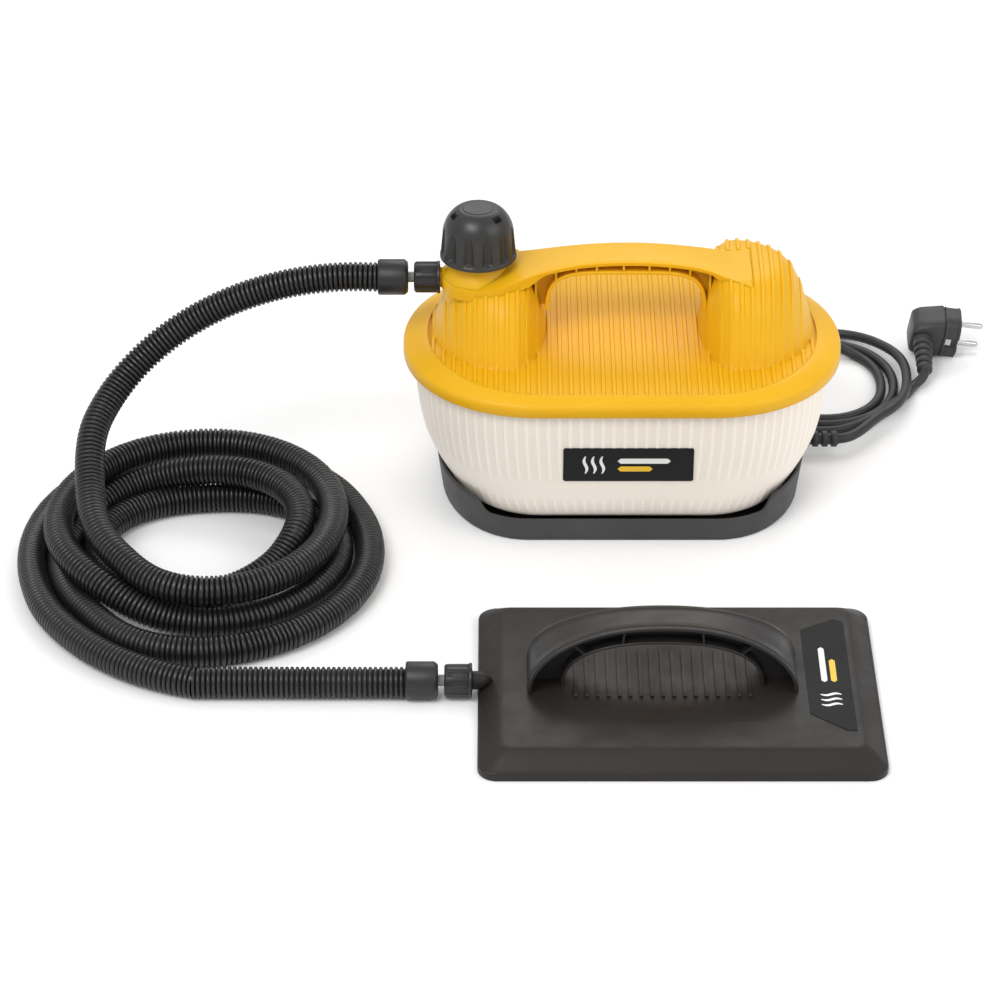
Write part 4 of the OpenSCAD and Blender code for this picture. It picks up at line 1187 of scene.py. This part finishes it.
def build_cord():
    coil = polar(CORD_CENTRE, spline(CORD_COIL, 12))
    tip = Vector((BOOT_HIGH.x, BOOT_Y, BOOT_Z))
    inside = Vector((BOOT_LOW.x - 18, BOOT_Y, BOOT_Z))
    first, last = coil[0], coil[-1]
    lead = bezier(tip, tip + Vector((16, 0, 0)), first - Vector((14, 12, 0)), first, 16)
    main = [inside, tip] + lead[1:] + coil
    section = superellipse(CORD_R, CORD_R, 2, 20)
    shape = Shape()
    path = resample(main, 2.2)
    shape.sweep(path, lambda i: section)
    shape.piece("cord_coil", "boiler", ["power_cord"], [CORD], "cord_pvc", 60)
    pivot = joint_place("plug_swing")
    pivot.z = CORD_GROUND
    step = Vector((1, 3, 0))
    exit_point = PLUG_MATRIX @ (SLEEVE_FOOT - Vector((0, SLEEVE_LENGTH, 0)))
    heading = (exit_point - PLUG_MATRIX @ SLEEVE_FOOT).normalized()
    tail = (bezier(last, last + Vector((10, 10, 0)), pivot - Vector((8, 14, 0)), pivot - step, 12)
            + bezier(pivot + step, pivot + step + Vector((3, 8, 0)), exit_point + 10 * heading, exit_point, 14)
            + [exit_point, exit_point - 20 * heading])
    shape = Shape()
    path = resample(tail, 2.2)
    shape.sweep(path, lambda i: section)
    flex = shape.piece("cord_flex", None, ["cord_lead"], [CORD], "cord_pvc", 60)
    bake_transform(flex)


def ribbed_sleeve(start, length, radius_at, first, pitch):
    """Profile of a flexible sleeve: five soft collars with slots between them."""
    profile = list(start)
    ring_length = 4.6
    for i in range(5):
        z = first + i * pitch
        r = radius_at(z)
        core = r - 1.7
        far = z + ring_length
        profile += [(core, z - 0.3), (r - 0.5, z), (r, z + 0.5), (r, far - 0.5), (r - 0.5, far), (core, far + 0.3)]
    end = radius_at(length) - 1.6
    profile += [(end, length - 0.6), (end - 0.5, length)]
    return profile


def build_cord_boot():
    shape = Shape()
    length = BOOT_HIGH.x - BOOT_LOW.x
    radius = (BOOT_HIGH.y - BOOT_LOW.y) / 2
    start = [(CORD_R + 0.1, 0), (radius - 0.4, 0), (radius, 0.4), (radius, 2.3), (radius - 0.4, 2.7),
             (5.1, 2.7), (5.1, 9)]
    profile = ribbed_sleeve(start, length, lambda z: radius, 10.7, 7.2)
    profile += [(CORD_R + 0.1, length)]
    place = Matrix.Translation((BOOT_LOW.x, BOOT_Y, BOOT_Z)) @ Matrix.Rotation(math.pi / 2, 4, "Y")
    shape.lathe(profile, 48, place, closed=True)
    shape.piece("boot_sleeve", "boiler", ["cord_boot"], [PLUG], "plug_plastic", 45)


def build_plug():
    shape = Shape()
    half_x = PLUG_DEPTH / 2
    # Place along the plug, and how far its two sides are drawn in there
    stations = [(-half_x, 3.4, 5.0), (-half_x + 0.8, 1.6, 3.2), (-half_x + 2.4, 0.6, 1.9),
                (-half_x + 6, 0.3, 1.2), (4.6, 0, 0.9), (5.2, 0.1, 1.0), (5.5, 0.9, 1.9), (6.3, 0.9, 1.9),
                (6.6, 0, 0.6), (7.4, -0.2, 0.3)]
    stations += [(x, -0.2, 0.2) for x in (8.4, 8.8, 9.2, 10, 12, 14, 16, 16.6)]
    stations += [(16.9, -0.7, -0.1), (17.6, -0.8, -0.2), (half_x - 0.5, -0.8, -0.2), (half_x, -0.2, 0.5)]
    steps = 144
    rings = []
    for x, inset_y, inset_z in stations:
        front = smooth((x - 5) / 3)
        power = mix(5.5, 3.2, front)
        ring = []
        for y, z in superellipse(PLUG_WIDTH / 2 - inset_y, PLUG_SPAN / 2 - inset_z, power, steps):
            recess = smooth((x - 8.2) / 0.8) * smooth((5.2 - abs(z)) / 0.9)
            if abs(y) > 8:
                y -= math.copysign(2.6 * recess, y)
            slope = smooth((z - 4) / 12) * max(0.0, (-x - 5) / 14)
            ring.append((x, y, z - 7 * slope))
        rings.append(ring)
    shape.rings(rings, PLUG_MATRIX)
    shape.piece("plug_shell", "plug", ["plug_body"], [PLUG], "plug_plastic", 40)

    shape = Shape()
    start = [(6.0, -4), (7.2, -2), (7.6, 1.5)]
    profile = ribbed_sleeve(start, SLEEVE_LENGTH, lambda z: 7.9 - 0.055 * z, 4, 7)
    place = PLUG_MATRIX @ Matrix.Translation(SLEEVE_FOOT) @ Matrix.Rotation(math.pi / 2, 4, "X")
    shape.lathe(profile, 48, place)
    shape.piece("plug_sleeve", "plug", ["plug_boot"], [PLUG], "plug_plastic", 45)

    shape = Shape()
    length, radius = 19, 2.4
    profile = [(1.9, -13), (1.9, -0.2), (radius, 0), (radius, length - 2.4), (radius - 0.25, length - 1.2),
               (radius - 0.9, length - 0.35), (0.5, length)]
    for side in (-1, 1):
        place = PLUG_MATRIX @ Matrix.Translation((half_x, 0, side * 9.5)) @ Matrix.Rotation(math.pi / 2, 4, "Y")
        shape.lathe(profile, 40, place)
    shape.piece("pins_plated", "plug", ["plug_pins"], [PLATED], "plated", 40)


# ---------- studio ----------

def build_studio():
    floor_mesh = bpy.data.meshes.new("studio_floor")
    size = 8
    corners = [(-size, -size, 0), (size, -size, 0), (size, size, 0), (-size, size, 0)]
    floor_mesh.from_pydata(corners, [], [(0, 1, 2, 3)])
    floor = bpy.data.objects.new("studio_floor", floor_mesh)
    bpy.context.scene.collection.objects.link(floor)
    n = Nodes("studio_paper")
    n.link(n.blend(n.noise(3, 2), srgb(250, 250, 250), srgb(247, 247, 247)), n.shader.inputs["Base Color"])
    n.shader.inputs["Roughness"].default_value = 0.85
    floor_mesh.materials.append(n.material)

    world = bpy.data.worlds.new("studio")
    bpy.context.scene.world = world
    world.use_nodes = True
    sky = world.node_tree.nodes["Background"]
    sky.inputs["Color"].default_value = (1, 1, 1, 1)
    sky.inputs["Strength"].default_value = 0.72

    def softbox(name, place, aim, width, height, power):
        light = bpy.data.lights.new(name, "AREA")
        light.shape = "RECTANGLE"
        light.size, light.size_y = width, height
        light.energy = power
        lamp = bpy.data.objects.new(name, light)
        lamp.location = place
        lamp.rotation_euler = (Vector(aim) - Vector(place)).to_track_quat("-Z", "Y").to_euler()
        bpy.context.scene.collection.objects.link(lamp)

    softbox("key", (-0.9, -1.3, 2.0), (0, 0, 0.05), 1.2, 0.9, 26)
    softbox("fill", (1.5, -0.9, 1.3), (0, 0, 0.05), 1.4, 1.0, 10)
    softbox("back", (0.2, 1.7, 1.7), (0, 0, 0.1), 1.8, 0.8, 14)

    camera_data = bpy.data.cameras.new("camera")
    camera_data.lens = 140.8
    camera_data.sensor_width = 36
    camera_data.clip_end = 30
    camera = bpy.data.objects.new("camera", camera_data)
    camera.location = (-0.0915, -2.572, 1.5406)
    camera.rotation_euler = (math.radians(90 - 31.3), 0, 0)
    bpy.context.scene.collection.objects.link(camera)
    bpy.context.scene.camera = camera
    bpy.context.scene.view_settings.view_transform = "Standard"


dress_cad_nodes()
build_lid()
build_tank()
build_tray()
build_cap()
build_hose()
build_nut("tank_nut_grip", "tank_nut_body", "tank_nut", TANK_AXIS)
build_nut("plate_nut_grip", "plate_nut_body", "plate_nut", PLATE_AXIS)
build_cuff("tank_cuff_shell", "boiler", "tank_cuff", TANK_AXIS)
build_cuff("plate_cuff_shell", "hose_end", "plate_cuff", PLATE_AXIS)
build_plate()
build_plate_inlet()
build_plate_handle()
build_handle_screws()
build_labels()
build_cord()
build_cord_boot()
build_plug()
build_studio()
